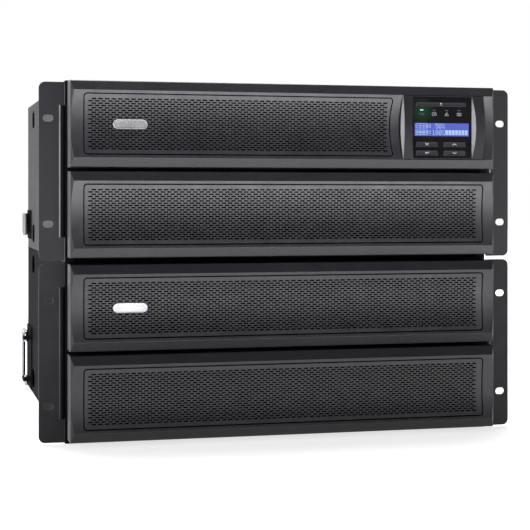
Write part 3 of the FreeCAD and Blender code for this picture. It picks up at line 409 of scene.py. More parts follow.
def coated(name, colour, rough=0.5, metal=0.0, grain=900.0, grain_depth=0.04, specular=0.5, spill=None,
           painted_front_shade=None):
    """Paint or moulded plastic: fine grain, faint clouds in the colour, brighter worn edges, and optionally a
    painted glow and a painted shade towards the front.
    """
    n = Nodes(name)
    clouds = n.ramp(n.noise(14.0, 2.0), 0.0, 1.0)
    speckle = n.ramp(n.noise(grain, 2.0), 0.0, 1.0)
    base = n.blend(clouds, shade_of(colour, 1 - CLOUD), shade_of(colour, 1 + CLOUD))
    base = n.blend(n.ramp(speckle, 0.0, 0.35, 0.0, 1.0), base, shade_of(colour, 0.72))
    base = n.blend(n.worn_edges(EDGE_WEAR), base, shade_of(colour, 2.2))
    if painted_front_shade:
        base = n.painted_front_shade(base, *painted_front_shade)
    n.link(base, n.shader.inputs["Base Color"])
    n.link(n.ramp(n.noise(60.0, 4.0), rough - 0.05, rough + 0.06), n.shader.inputs["Roughness"])
    height = n.noise(grain, 2.0)
    n.link(n.bump(height, 0.5, grain_depth), n.shader.inputs["Normal"])
    n.shader.inputs["Metallic"].default_value = metal
    n.shader.inputs["Specular IOR Level"].default_value = specular
    if spill:
        n.spill(*spill)
    return n.material


def glowing(name, colour, strength, low_share=0.75):
    """Something lit from behind, a little uneven."""
    n = Nodes(name)
    patches = n.ramp(n.noise(120.0, 2.0), 0.0, 1.0)
    glow = n.blend(patches, shade_of(colour, low_share), colour)
    n.link(glow, n.shader.inputs["Emission Color"])
    n.shader.inputs["Emission Strength"].default_value = strength
    n.shader.inputs["Base Color"].default_value = (*shade_of(colour, 0.2), 1.0)
    n.shader.inputs["Roughness"].default_value = 0.25
    return n.material


LENS_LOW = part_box("indicator_lenses")[0]
FIRST_LENS = (LENS_LOW.x + 2 * MM, LENS_LOW.y, LENS_LOW.z)
SHEET = {"grain": 700.0, "grain_depth": 0.06}
MOULDED = {"grain": 1100.0, "grain_depth": 0.02}
GLOSSY = {"grain": 1500.0, "grain_depth": 0.01}
# Painted shade on the case's front edges, which sit in the dark gap behind the ears and bezels: dark in front
# of the first depth in millimetres, fading to the case colour by the second, and the shade's colour.
FRONT_SHADE = (4.0, 8.0, (0.004, 0.004, 0.005))
# Painted green glow on the fascia round the lit lens: its centre, reach in metres, colour and strength.
LENS_SPILL = (FIRST_LENS, 0.014, (0.05, 0.5, 0.22), 0.09)

COATINGS = {
    "case_paint": dict(colour=(0.055, 0.054, 0.060), rough=0.6, specular=0.12, painted_front_shade=FRONT_SHADE,
                       **SHEET),
    "pack_paint": dict(colour=(0.006, 0.006, 0.0075), rough=0.7, specular=0.02, **SHEET),
    "tray_paint": dict(colour=(0.006, 0.006, 0.007), rough=0.8, grain=700.0, specular=0.06),
    "filter_foam": dict(colour=(0.006, 0.006, 0.007), rough=0.9, grain=500.0, grain_depth=0.5),
    "ear_paint": dict(colour=(0.0115, 0.0108, 0.0145), rough=0.44, specular=0.40),
    "pack_ear": dict(colour=(0.0075, 0.0070, 0.0100), rough=0.46, specular=0.32),
    # Painted highlights along the outside of the ears' bends, lighter on the power supply than on the pack.
    "ear_bend_highlight": dict(colour=(0.32, 0.32, 0.325), rough=0.35),
    "pack_bend_highlight": dict(colour=(0.07, 0.07, 0.074), rough=0.35),
    "bezel_plastic": dict(colour=(0.0235, 0.0228, 0.0280), rough=0.31, specular=0.7, **MOULDED),
    "grille_plastic": dict(colour=(0.0250, 0.0242, 0.0295), rough=0.31, specular=0.7, **MOULDED),
    "pack_bezel": dict(colour=(0.019, 0.0183, 0.0228), rough=0.33, specular=0.55, **MOULDED),
    "pack_grille": dict(colour=(0.0195, 0.0188, 0.0233), rough=0.33, specular=0.55, **MOULDED),
    # Painted light and shade at the bezels: the end walls painted lighter, as lit from the side, and the
    # bevels painted darker, as in shade.
    "bezel_flank_lit": dict(colour=(0.16, 0.158, 0.165), rough=0.40, grain=1100.0),
    "bezel_bevel": dict(colour=(0.014, 0.0138, 0.016), rough=0.45, grain=1100.0, specular=0.3),
    "badge_metal": dict(colour=(0.42, 0.42, 0.44), rough=0.30, metal=1.0, grain=1500.0),
    "display_frame": dict(colour=(0.020, 0.020, 0.022), rough=0.42, specular=0.2, **GLOSSY),
    # Painted light on the display surround's left-facing flanks and well walls, as lit from the left.
    "display_flank_lit": dict(colour=(0.22, 0.218, 0.226), rough=0.35, **GLOSSY),
    "fascia_plastic": dict(colour=(0.006, 0.006, 0.007), rough=0.10, grain=2000.0, grain_depth=0.004,
                           specular=0.35, spill=LENS_SPILL),
    "key_plastic": dict(colour=(0.013, 0.013, 0.014), rough=0.34, specular=0.4),
    "lens_plastic": dict(colour=(0.05, 0.058, 0.054), rough=0.3),
    "print_white": dict(colour=(0.62, 0.62, 0.62)),
    "print_grey": dict(colour=(0.26, 0.27, 0.27)),
    "board": dict(colour=(0.015, 0.11, 0.05), rough=0.4),
    "chip_plastic": dict(colour=(0.02, 0.02, 0.022), grain=1500.0),
    "block_case": dict(colour=(0.06, 0.06, 0.067), grain=600.0),
    "heatsink_metal": dict(colour=(0.55, 0.56, 0.58), rough=0.36, metal=1.0),
    "core_steel": dict(colour=(0.25, 0.16, 0.08)),
    "can_sleeve": dict(colour=(0.02, 0.025, 0.08), rough=0.3),
    "fan_plastic": dict(colour=(0.014, 0.014, 0.015), rough=0.45),
    "guard_metal": dict(colour=(0.36, 0.36, 0.38), rough=0.25, metal=1.0),
    "socket_plastic": dict(colour=(0.018, 0.018, 0.02), rough=0.45),
    "contact_metal": dict(colour=(0.34, 0.27, 0.15), rough=0.35, metal=1.0, grain=1500.0),
    "breaker_plastic": dict(colour=(0.02, 0.02, 0.02), rough=0.4),
    "tab_steel": dict(colour=(0.16, 0.16, 0.168), grain=1200.0),
    "chrome_wire": dict(colour=(0.40, 0.40, 0.42), rough=0.2, metal=1.0, grain_depth=0.01),
    "bracket_paint": dict(colour=(0.010, 0.010, 0.011), rough=0.85, specular=0.03),
    "screw_metal": dict(colour=(0.12, 0.12, 0.125), rough=0.35, metal=1.0),
}
MATERIALS = {name: coated(name, **look) for name, look in COATINGS.items()}
MATERIALS["lcd"] = glowing("lcd", (0.075, 0.105, 0.48), 1.0, 0.85)
MATERIALS["lcd_dot"] = glowing("lcd_dot", (0.50, 0.66, 1.0), 0.72)
MATERIALS["lens_lit"] = glowing("lens_lit", (0.55, 1.0, 0.70), 1.0)


# ---- carried-over CAD nodes

WELD_REACH = 0.005
FLAT_ANGLE = 0.3
EDGE_ANGLE = 35


def dress(node, material, bevel=0.4, segments=2):
    """Give a CAD node its material, and round its edges with modifiers."""
    obj = frame["nodes"][node]
    if not obj.material_slots:
        raise RuntimeError(node + " has no material slot")
    for slot in obj.material_slots:
        slot.link = "OBJECT"
        slot.material = material
    weld = obj.modifiers.new("weld", "WELD")
    weld.merge_threshold = WELD_REACH * MM
    flat = obj.modifiers.new("flat", "DECIMATE")
    flat.decimate_type = "DISSOLVE"
    flat.angle_limit = math.radians(FLAT_ANGLE)
    round_off = obj.modifiers.new("round", "BEVEL")
    round_off.width = bevel * MM
    round_off.segments = segments
    round_off.limit_method = "ANGLE"
    round_off.angle_limit = math.radians(EDGE_ANGLE)
    round_off.harden_normals = False
    obj.modifiers.new("normals", "WEIGHTED_NORMAL")


# ---- bezels and grilles

class Front:
    """Where one bezel stands: its middle height and half height in millimetres, from the CAD."""

    def __init__(self, node):
        low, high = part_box(node)
        self.half_length = (high.x - low.x) / MM / 2
        self.middle = (low.z + high.z) / MM / 2
        self.half_height = (high.z - low.z) / MM / 2
        self.face_half = self.half_height - BEZEL_BEVEL

    def face(self, offset):
        """Depth of the hollow face at a height above or below the middle."""
        reach = min(abs(offset), self.face_half)
        return RIDGE + arc_sag(reach, self.face_half, FACE_HOLLOW)


def bezel_profile(front):
    """Cross-section of a bezel as (depth, height) points round it, with softened corners."""
    steps = 28
    half = front.face_half
    face = [(front.face(z), front.middle + z) for z in (half * (2 * n / steps - 1) for n in range(steps + 1))]
    low = front.middle - front.half_height
    high = front.middle + front.half_height
    points = [(BEZEL_BACK, low), (SHOULDER, low)] + face + [(SHOULDER, high), (BEZEL_BACK, high)]
    radii = [0.0, 2.0, 0.9] + [0.0] * (steps - 1) + [0.9, 2.0, 0.0]
    return rounded(points, radii)


def bezel_blank(front):
    """The bezel as a solid bar with bevelled ends."""
    profile = bezel_profile(front)
    limit = RIDGE + END_BEVEL[1]
    rings = []
    for side, inner in ((-1, False), (-1, True), (1, True), (1, False)):
        ring = []
        for y, z in profile:
            inset = max(limit - y, 0.0) * END_BEVEL[0] / END_BEVEL[1] if inner else 0.0
            ring.append((side * (front.half_length - inset), y if inner else max(y, limit), z))
        rings.append(ring)
    return loft(rings)


def grille_outline(front, end, bow, grow=0.0, steps=10):
    """Outline of a grille, or of its window when grown: rounded corners, and the right side bowed inwards."""
    left = -GRILLE_HALF_LENGTH - grow
    right = end + grow
    half = GRILLE_HALF_HEIGHT + grow
    radius = GRILLE_CORNER + grow
    corners = rectangle(left, front.middle - half, right, front.middle + half, radius)
    if not bow:
        return corners
    per_corner = len(corners) // 4
    side = []
    for n in range(1, steps):
        offset = (half - radius) * (2 * n / steps - 1)
        side.append((right - arc_sag(offset, half - radius, bow), front.middle + offset))
    return corners[:2 * per_corner] + side + corners[2 * per_corner:]


def make_bezel(name, body, end, bow, display=False):
    front = Front(name)
    inner = rectangle(-front.half_length + BEZEL_WALL, front.middle - front.half_height + BEZEL_WALL,
                      front.half_length - BEZEL_WALL, front.middle + front.half_height - BEZEL_WALL, 1.5)
    tools = [prism("y", inner, BEZEL_INSIDE, 5.0),
             prism("y", grille_outline(front, end, bow, GROOVE), *THROUGH_FRONT)]
    if display:
        tools.append(prism("y", display_outline(DISPLAY_GAP), *THROUGH_FRONT))
    bm = softened(combined(bezel_blank(front), tools), 0.35)
    outside = (front.half_length - END_BEVEL[0]) * MM
    # The ends' side walls take a painted highlight and the end bevels a painted shade; on the pack the
    # downward bottom bevels take the painted shade too.
    extras = [("bezel_flank_lit",
               lambda face: abs(face.normal.x) > 0.97 and abs(face.calc_center_median().x) > outside),
              ("bezel_bevel", lambda face: 0.5 < abs(face.normal.x) < 0.9 and abs(face.normal.z) < 0.3)]
    if name.startswith("pack"):
        extras.append(("bezel_bevel", lambda face: -0.95 < face.normal.z < -0.4))
    shell = "pack_bezel" if name.startswith("pack") else "bezel_plastic"
    make_piece(name + "_cover", bm, shell, body, [name], extras=extras)


def slot_outline(x, z, steps=4):
    """Points round the left half, then the right half, of one rounded slot."""
    radius = SLOT_HEIGHT / 2
    reach = SLOT_LENGTH / 2 - radius
    halves = []
    for side in (-1, 1):
        points = [(x, z + radius)]
        for n in range(steps + 1):
            angle = math.pi * n / steps
            points.append((x + side * (reach + radius * math.sin(angle)), z + radius * math.cos(angle)))
        points.append((x, z - radius))
        halves.append(points)
    return halves


def make_grille(name, body, bezel, end, bow):
    """The curved insert with its staggered slots, as one sheet with real holes."""
    front = Front(bezel)
    bm = bmesh.new()
    known = {}

    def vert(x, z):
        key = (round(x, 3), round(z, 3))
        if key not in known:
            known[key] = bm.verts.new((x, front.face(z) + GRILLE_SUNK, front.middle + z))
        return known[key]

    def right_edge(z):
        return end - (arc_sag(z, GRILLE_HALF_HEIGHT - GRILLE_CORNER, bow) if bow else 0.0)

    half_step = SLOT_STEP / 2
    first = -FIELD_HALF - (SLOT_STEP - SLOT_LENGTH) / 2
    field_end = FIELD_HALF if not bow else end - FIELD_MARGIN
    lines = [ROW_STEP * (n - ROWS / 2) for n in range(ROWS + 1)]
    columns = int((field_end + (SLOT_STEP - SLOT_LENGTH) / 2 - first) / half_step + 0.01)

    def line_points(z, start, stop):
        """Vertices of a line between rows from one half-step to another; None means the sheet's own edge."""
        low = 0 if start is None else start
        high = columns if stop is None else stop
        points = [vert(first + half_step * n, z) for n in range(low, high + 1)]
        if start is None:
            points.insert(0, vert(-GRILLE_HALF_LENGTH, z))
        if stop is None:
            points.append(vert(right_edge(z), z))
        return points

    for row in range(ROWS):
        low, high = lines[row], lines[row + 1]
        start = 1 - row % 2
        cells = (columns - start) // 2
        for cell in range(cells):
            left = start + 2 * cell
            centre = first + half_step * (left + 1)
            for side, points in zip((-1, 1), slot_outline(centre, (low + high) / 2)):
                corner = first + half_step * (left + 1 + side)
                outer = [vert(centre, low), vert(corner, low), vert(corner, high), vert(centre, high)]
                bm.faces.new(outer + [vert(*point) for point in points])
        stop = start + 2 * cells
        for begin, finish in ((None, start), (stop, None)):
            bm.faces.new(line_points(low, begin, finish) + line_points(high, begin, finish)[::-1])

    half = GRILLE_HALF_HEIGHT
    for sign, line in ((-1, lines[0]), (1, lines[-1])):
        edge = line_points(line, None, None)
        rim = []
        for corner_x, out in ((end, 1), (-GRILLE_HALF_LENGTH, -1)):
            arc = [(corner_x - out * GRILLE_CORNER * (1 - math.cos(a)),
                    sign * (half - GRILLE_CORNER * (1 - math.sin(a))))
                   for a in (math.pi / 2 * n / 4 for n in range(5))]
            rim += [vert(*point) for point in (arc if out > 0 else arc[::-1])]
        bm.faces.new(edge + rim)

    bmesh.ops.recalc_face_normals(bm, faces=bm.faces)
    faces = bm.faces[:]
    made = bmesh.ops.extrude_face_region(bm, geom=faces, use_keep_orig=True)
    for item in made["geom"]:
        if isinstance(item, bmesh.types.BMVert):
            item.co.y += GRILLE_SKIN
    bmesh.ops.recalc_face_normals(bm, faces=bm.faces)
    skin = "pack_grille" if name.startswith("pack") else "grille_plastic"
    make_piece(name + "_mesh", bm, skin, body, [name])


# ---- display module

def display_outline(grow=0.0, steps=24):
    """Outline of the display surround at its foot: straight top and bottom, sides bowed outwards."""
    half = DISPLAY_HALF_HEIGHT + grow
    points = []
    for side in (1, -1):
        for n in range(steps + 1):
            offset = side * half * (2 * n / steps - 1)
            x = DISPLAY_CENTRE + side * (DISPLAY_HALF + grow + arc_sag(offset, half, DISPLAY_FLARE))
            points.append((x, DISPLAY_MIDDLE + offset))
    return points


def make_display_housing():
    """Two barrel-fronted pillars with drafted flanks, joined by thin rails above and below the glass."""
    half = DISPLAY_HALF_HEIGHT
    steps = 32
    foot = DISPLAY_FOOT
    pillars = []
    for side, glass in ((-1, FASCIA_LEFT), (1, FASCIA_RIGHT)):
        rings = []
        for n in range(steps + 1):
            offset = half * (2 * n / steps - 1)
            bulge = max(arc_sag(offset, half, DISPLAY_BULGE), 0.3)
            front = RIDGE - bulge
            flare = max(arc_sag(offset, half, DISPLAY_FLARE), 0.3)
            outer = DISPLAY_CENTRE + side * (DISPLAY_HALF + flare)
            edge = outer - side * flare
            well = glass + side * WELL_DRAFT * bulge
            corners = [(outer, foot), (outer, front + 1.2 * flare), (edge, front), (well, front),
                       (glass, RIDGE + 0.4), (glass, foot)]
            rounds = [0.0, 0.0, 0.1, 0.1, 0.0, 0.0]
            rings.append([(x, y, DISPLAY_MIDDLE + offset) for x, y in rounded(corners, rounds, 3)])
        pillars.append(loft(rings))
    rails = []
    for sign in (-1, 1):
        near, far = sorted((sign * half, sign * (half - FASCIA_MARGIN)))
        outline = rectangle(FASCIA_LEFT - RAIL_OVERLAP, DISPLAY_MIDDLE + near,
                            FASCIA_RIGHT + RAIL_OVERLAP, DISPLAY_MIDDLE + far, 0.2, 2)
        rails.append(prism("y", outline, RIDGE, foot))
    back = rectangle(FASCIA_LEFT - RAIL_OVERLAP, DISPLAY_MIDDLE - half + 0.4,
                     FASCIA_RIGHT + RAIL_OVERLAP, DISPLAY_MIDDLE + half - 0.4)
    rails.append(prism("y", back, foot - 2.5, foot - 0.2))
    ridge = depth(RIDGE - 0.1)
    # Faces that turn to the left, in front of the ridge, are painted lighter, as lit from the left.
    extras = [("display_flank_lit",
               lambda face: face.normal.x < -0.35 and face.calc_center_median().y < ridge)]
    make_piece("display_surround", together(pillars + rails), "display_frame", "stack",
               ["display_housing"], extras=extras)


def cushion(low, high, radius, edge, dish=0.0, facing=-1):
    """A block with rounded corners and edges on the side that faces -Y, or +Y; dish hollows that face."""
    outline = rectangle(low[0], low[2], high[0], high[2], radius)
    middle_x, middle_z = (low[0] + high[0]) / 2, (low[2] + high[2]) / 2

    def ring(y, inset):
        y = y if facing < 0 else low[1] + high[1] - y
        wide = (high[0] - low[0]) / 2
        tall = (high[2] - low[2]) / 2
        return [(middle_x + (x - middle_x) * (wide - inset) / wide, y,
                 middle_z + (z - middle_z) * (tall - inset) / tall) for x, z in outline]

    rings = [ring(high[1], 0.0), ring(low[1] + edge, 0.0)]
    for n in range(1, 5):
        angle = math.pi / 2 * n / 4
        rings.append(ring(low[1] + edge * (1 - math.sin(angle)), edge * (1 - math.cos(angle))))
    rings.append(ring(low[1] + dish, edge + min(1.0, (high[2] - low[2]) / 5)))
    return loft(rings)


def make_fascia():
    low, high, _ = node_box("display_fascia")
    holes = []
    for node in KEYS:
        key_low, _, (x, _, z) = node_box(node)
        holes.append(pane(x, z, x - key_low[0] + KEY_GAP, z - key_low[2] + KEY_GAP, 0.8))
    lcd_low, lcd_high, _ = node_box("lcd_screen")
    holes.append(rectangle(lcd_low[0], lcd_low[2], lcd_high[0], lcd_high[2], 0.3))
    holes += [pane(x, z, LENS_WIDTH / 2, LENS_HEIGHT / 2, 0.3) for x, z in lens_centres()]
    tools = [prism("y", hole, low[1] - 3, high[1] + 3) for hole in holes]
    make_piece("fascia_panel", combined(cushion(low, high, 0.6, 0.25), tools), "fascia_plastic", "stack",
               ["display_fascia"])


def lens_centres():
    low, high, middle = node_box("indicator_lenses")
    step = (high[0] - low[0] - LENS_WIDTH) / 3
    return [(low[0] + LENS_WIDTH / 2 + step * n, middle[2]) for n in range(4)]


def make_lenses():
    low, high, _ = node_box("indicator_lenses")
    wide, tall = LENS_WIDTH / 2, LENS_HEIGHT / 2
    for number, (x, z) in enumerate(lens_centres()):
        lens = cushion([x - wide, low[1], z - tall], [x + wide, high[1], z + tall], 0.3, 0.2)
        material = "lens_plastic" if number else "lens_lit"
        replaced = [] if number else ["indicator_lenses"]
        make_piece("indicator_lens_%d" % (number + 1), lens, material, "stack", replaced)


DIGITS = {
    "0": ("01110", "10001", "10011", "10101", "11001", "10001", "01110"),
    "1": ("00100", "01100", "00100", "00100", "00100", "00100", "01110"),
    "5": ("11111", "10000", "11110", "00001", "00001", "10001", "01110"),
    "%": ("11000", "11001", "00010", "00100", "01000", "10011", "00011"),
    ":": ("00000", "01100", "01100", "00000", "01100", "01100", "00000"),
    "[": ("11111", "10000", "10111", "10111", "10111", "10000", "11111"),
    "=": ("11111", "00000", "11111", "11111", "11111", "00000", "11111"),
    "]": ("11110", "00010", "11011", "11011", "11011", "00010", "11110"),
    "(": ("00111", "01000", "10000", "10111", "10000", "01000", "00111"),
    "-": ("11111", "00000", "00100", "11111", "00100", "00000", "11111"),
    ")": ("11100", "00010", "11111", "00010", "11111", "00010", "11100"),
    " ": ("00000",) * 7,
}
LCD_TEXT = ("(--): 50%", "[==]:100%")
LCD_PLACES = 16


LCD_MARGIN = (1.2, 0.5)
LCD_SIGN = (6, 9)
DOT_GAP = (0.05, 0.08)


def make_lcd():
    """Backlit screen with two rows of dots: signs for load and battery, percentages and a charge bar."""
    low, high, _ = node_box("lcd_screen")
    low[1] += 0.15
    make_piece("lcd_glass", cushion(low, high, 0.3, 0.1), "lcd", "stack", ["lcd_screen"])
    step_x = (high[0] - low[0] - 2 * LCD_MARGIN[0]) / (LCD_PLACES * LCD_SIGN[0] - 1)
    step_z = (high[2] - low[2] - 2 * LCD_MARGIN[1]) / (2 * LCD_SIGN[1] - 1)
    dots = []

    def lit(column, row, across=1, down=1):
        left = low[0] + LCD_MARGIN[0] + step_x * column
        top = high[2] - LCD_MARGIN[1] - step_z * row
        outline = rectangle(left, top - step_z * down + DOT_GAP[1], left + step_x * across - DOT_GAP[0], top)
        dots.append(prism("y", outline, low[1] - 0.08, low[1] + 0.1))

    for line, text in enumerate(LCD_TEXT):
        for spot, sign in enumerate(text):
            for row, pattern in enumerate(DIGITS[sign]):
                for column, dot in enumerate(pattern):
                    if dot == "1":
                        lit(spot * LCD_SIGN[0] + column, line * LCD_SIGN[1] + row)
    for spot in range(len(LCD_TEXT[1]), LCD_PLACES):
        lit(spot * LCD_SIGN[0], LCD_SIGN[1], 5, 7)
    make_piece("lcd_dots", together(dots), "lcd_dot", "stack")


def strokes(lines, width, front, back):
    """Flat printed lines as small bars with square ends; a line that ends where it starts is a loop."""
    bars = []
    for points in lines:
        for start, end in zip(points, points[1:]):
            start, end = Vector(start), Vector(end)
            along = (end - start).normalized()
            across = Vector((-along.y, along.x)) * (width / 2)
            start, end = start - along * width / 2, end + along * width / 2
            outline = [tuple(p) for p in (start - across, end - across, end + across, start + across)]
            bars.append(prism("y", outline, front, back))
    return together(bars)


def outlined(left, low, right, high):
    """A printed rectangle, as a loop."""
    return [(left, low), (right, low), (right, high), (left, high), (left, low)]


WAVE = [(-2.0 + 4.0 * n / 10, 1.1 * math.sin(math.tau * n / 10)) for n in range(11)]
ICONS = (
    (WAVE,),
    (outlined(-2.2, -1.3, 2.2, 1.1), [(-1.3, 1.7), (-0.6, 1.7)], [(0.6, 1.7), (1.3, 1.7)],
     [(-0.8, -0.1), (0.8, -0.1)]),
    ([(-2.1, -1.5), (2.1, -1.5), (0.0, 1.9), (-2.1, -1.5)], [(0.0, -0.9), (0.0, 0.6)]),
    (outlined(-2.3, -1.4, 2.3, 0.8), [(-0.8, -1.0), (0.8, 0.4)], [(-0.8, 0.4), (0.8, -1.0)],
     [(-1.5, 1.4), (-0.8, 1.4)], [(0.8, 1.4), (1.5, 1.4)]),
)
POWER_RING = [(1.25 * math.sin(a), 1.25 * math.cos(a))
              for a in (math.radians(35 + 290 * n / 12) for n in range(13))]
LEGENDS = {
    "power_button": (POWER_RING, [(0.0, 0.2), (0.0, 1.7)]),
    "escape_button": ([(-1.4, -1.0), (1.4, 1.0)], [(-1.4, 1.0), (1.4, -1.0)]),
    "up_button": ([(-1.8, -0.7), (0.0, 0.8), (1.8, -0.7)],),
    "enter_button": ([(1.9, 1.2), (1.9, 0.0), (-1.8, 0.0)], [(-0.7, 0.9), (-1.8, 0.0), (-0.7, -0.9)]),
    "down_button": ([(-1.8, 0.7), (0.0, -0.8), (1.8, 0.7)],),
}


def moved(lines, x, z):
    return [[(x + a, z + b) for a, b in line] for line in lines]


def make_icons():
    """Status signs printed under the lenses: mains wave, battery, warning, and battery change."""
    low, _, _ = node_box("display_fascia")
    lines = []
    for (x, z), icon in zip(lens_centres(), ICONS):
        lines += moved(icon, x, z - ICON_DROP)
    make_piece("status_icons", strokes(lines, 0.42, low[1] - 0.03, low[1] + 0.2), "print_grey", "stack")


def make_keys():
    for node, body in KEYS.items():
        low, high, (x, _, z) = node_box(node)
        cap = cushion(low, high, 0.7, 0.5, 0.1)
        make_piece(node + "_cap", cap, "key_plastic", body, [node])
        sign = strokes(moved(LEGENDS[node], x, z), 0.45, low[1] + 0.02, low[1] + 0.4)
        make_piece(node + "_sign", sign, "print_white", body)


def make_badge(node, body):
    low, high, middle = node_box(node)
    capsule = cushion(low, high, high[2] - middle[2] - 0.01, 0.45, 0.12)
    make_piece(node + "_plate", capsule, "badge_metal", body, [node])


# ---- rack ears

EAR_SHEET = 2.5
EAR_BEND = 6.0
EAR_HIGHLIGHT = 1.3
EAR_RELIEF = 1.0
EAR_CORNER = 6.0
EAR_SLOT = (5.0, 3.4)
EAR_SLOT_REACH = 232.55
EAR_SLOT_RISE = 50.8
FLANGE_HALF = 63.5


def make_ear(node, side, bend_highlight):
    """The slotted plate and its bent flange, with a painted highlight along the outside of the bend."""
    low, high, (_, _, middle) = node_box(node)
    wall, tip = sorted((abs(low[0]), abs(high[0])))
    bend = wall + EAR_BEND
    within = EAR_BEND - EAR_SHEET
    arc = [math.pi / 2 * n / 16 for n in range(17)]
    outer = [(side * (bend - EAR_BEND * math.sin(a)), EAR_BEND * (1 - math.cos(a))) for a in arc]
    inner = [(side * (bend - within * math.sin(a)), EAR_BEND - within * math.cos(a)) for a in reversed(arc)]
    profile = outer + [(side * wall, high[1]), (side * (wall + EAR_SHEET), high[1])] + inner
    flange = prism("z", profile, middle - FLANGE_HALF, middle + FLANGE_HALF)
    relief = wall + EAR_RELIEF
    below, above = middle - FLANGE_HALF, middle + FLANGE_HALF
    outline = [(bend, below), (relief, below), (relief, low[2]), (tip, low[2]),
               (tip, high[2]), (relief, high[2]), (relief, above), (bend, above)]
    radii = [0, 0, 0.5, EAR_CORNER, EAR_CORNER, 0.5, 0, 0]
    outline = rounded([(side * x, z) for x, z in outline], radii, 8)
    slots = [pane(side * EAR_SLOT_REACH, middle + rise, *EAR_SLOT, EAR_SLOT[1] - 0.01, 8)
             for rise in (-EAR_SLOT_RISE, EAR_SLOT_RISE)]
    tools = [prism("y", slot, -5.0, 8.0) for slot in slots]
    plate = softened(combined(prism("y", outline, 0.0, EAR_SHEET), tools), 0.25, 2, 50)
    # Faces on the outside of the bend, within this band, take the painted highlight.
    limit = (bend - EAR_HIGHLIGHT) * MM

    def on_bend(face):
        at = face.calc_center_median()
        return limit < abs(at.x) < bend * MM and at.y < depth(1.0) and -0.999 < face.normal.y < -0.3

    paint = "pack_ear" if node.startswith("pack") else "ear_paint"
    make_piece(node + "_plate", together([plate, flange]), paint, "stack", [node],
               extras=[(bend_highlight, on_bend)])


# ---- sockets on the back: half sizes of each hole, depths and the contacts standing in them

SOCKET_LIP = 2.0
LINK_RIM = 6.0
LINK_REACH = 31.0
LINK_HOLE = (25.0, 14.0)
LINK_CONTACTS = ([(-12, 0), (12, 0)], (1.5, 7.0), 9.0)
OUTLET_STEP = (36.0, 32.0)
OUTLET_FIRST = (19.0, 15.0)
OUTLET_HOLE = (13.0, 9.0)
OUTLET_CONTACTS = ([(-6, -1.5), (6, -1.5), (0, 3)], (0.8, 2.5), 0.9)
INLET_HOLE = (16.0, 11.5)
INLET_CONTACTS = ([(-8, -3), (8, -3), (0, 4)], (1.0, 3.5), 11.0)
PORT_STEP = 18.0
PORT_FIRST = 10.0
PORT_HOLE = (6.0, 6.0)
PORT_CONTACTS = ([(n * 1.1 - 3.3, 3.6) for n in range(7)], (0.25, 1.1), 6.0)


def make_sockets(node, holes, half_size, deep, contacts):
    """Socket blocks: a flange outside the panel, a body behind it, and hollows with metal contacts."""
    low, high, _ = node_box(node)
    wide, tall = half_size
    outside = high[1] - SOCKET_LIP
    blocks = [(low[0], low[2], high[0], high[2], holes)]
    if node == "pack_link_socket":
        rim_x, rim_z = wide + LINK_RIM, tall + LINK_RIM
        blocks = [(x - rim_x, z - rim_z, x + rim_x, z + rim_z, [(x, z)]) for x, z in holes]
    spots, blade, stand = contacts
    shells = []
    blades = []
    for left, bottom, right, top, inside in blocks:
        flange = cushion([left, outside, bottom], [right, high[1], top], 2.0, 0.6, facing=1)
        inner = rectangle(left + SOCKET_LIP, bottom + SOCKET_LIP, right - SOCKET_LIP, top - SOCKET_LIP, 1.5)
        body = prism("y", inner, low[1], outside + 0.5)
        tools = []
        for x, z in inside:
            mouth = [(x - wide, z - tall), (x + wide, z - tall), (x + wide, z + tall), (x - wide, z + tall)]
            tools.append(prism("y", rounded(mouth, [0.8, 0.8, 3.0, 3.0]), high[1] - deep, high[1] + 4))
            for across, up in spots:
                outline = pane(x + across, z + up, *blade, 0.3)
                blades.append(prism("y", outline, high[1] - deep - 0.5, high[1] - deep + stand))
        shells.append(combined(combined(flange, [body], "UNION"), tools))
    make_piece(node + "_shell", together(shells), "socket_plastic", "stack", [node])
    make_piece(node + "_contacts", together(blades), "contact_metal", "stack")


def make_rear_sockets():
    low, _, _ = node_box("outlet_block")
    left, bottom = low[0] + OUTLET_FIRST[0], low[2] + OUTLET_FIRST[1]
    outlets = [(left + OUTLET_STEP[0] * column, bottom + OUTLET_STEP[1] * row)
               for column in range(3) for row in range(2)]
    make_sockets("outlet_block", outlets, OUTLET_HOLE, 16.0, OUTLET_CONTACTS)
    _, _, (x, _, z) = node_box("input_inlet")
    make_sockets("input_inlet", [(x, z)], INLET_HOLE, 18.0, INLET_CONTACTS)
    low, _, (_, _, z) = node_box("data_ports")
    ports = [(low[0] + PORT_FIRST + PORT_STEP * n, z) for n in range(3)]
    make_sockets("data_ports", ports, PORT_HOLE, 11.0, PORT_CONTACTS)
    for node in ("ups_link_socket", "pack_link_socket"):
        low, high, (_, _, z) = node_box(node)
        links = [(high[0] - LINK_REACH, z)]
        if node == "pack_link_socket":
            links.append((low[0] + LINK_REACH, z))
        make_sockets(node, links, LINK_HOLE, 16.0, LINK_CONTACTS)


# ---- fans, breakers and screws

GUARD_RINGS = (10.0, 19.0, 28.0, 37.0)
GUARD_WIRE = 0.85
SCREW_INSET = 7.0
EAR_SCREW_RADIUS = 3.4
EAR_SCREW_RISE = 45.0
EAR_SCREW_HEAD = 1.3
BLADES = 7
BLADE_STATIONS = (13.0, 18.0, 23.0, 28.0, 32.0, 35.3)
BLADE_CHORD = 7.0
BLADE_RISE = 6.2
BLADE_SECTION = ((-1, 0.2), (-0.5, 0.8), (0.2, 0.9), (1, 0.2), (0.2, -0.4), (-0.5, -0.4))


def screw(axis, centre, radius, base, top):
    """A low screw head with a socket in it, standing from base to top along an axis."""
    rise = top - base
    return turned(axis, centre, [(radius, base), (radius, base + 0.6 * rise), (0.82 * radius, top),
                                 (0.5 * radius, top), (0.45 * radius, base + 0.35 * rise)], 24)


def make_screws(name, heads, replaces=()):
    make_piece(name, together(heads), "screw_metal", "stack", replaces)


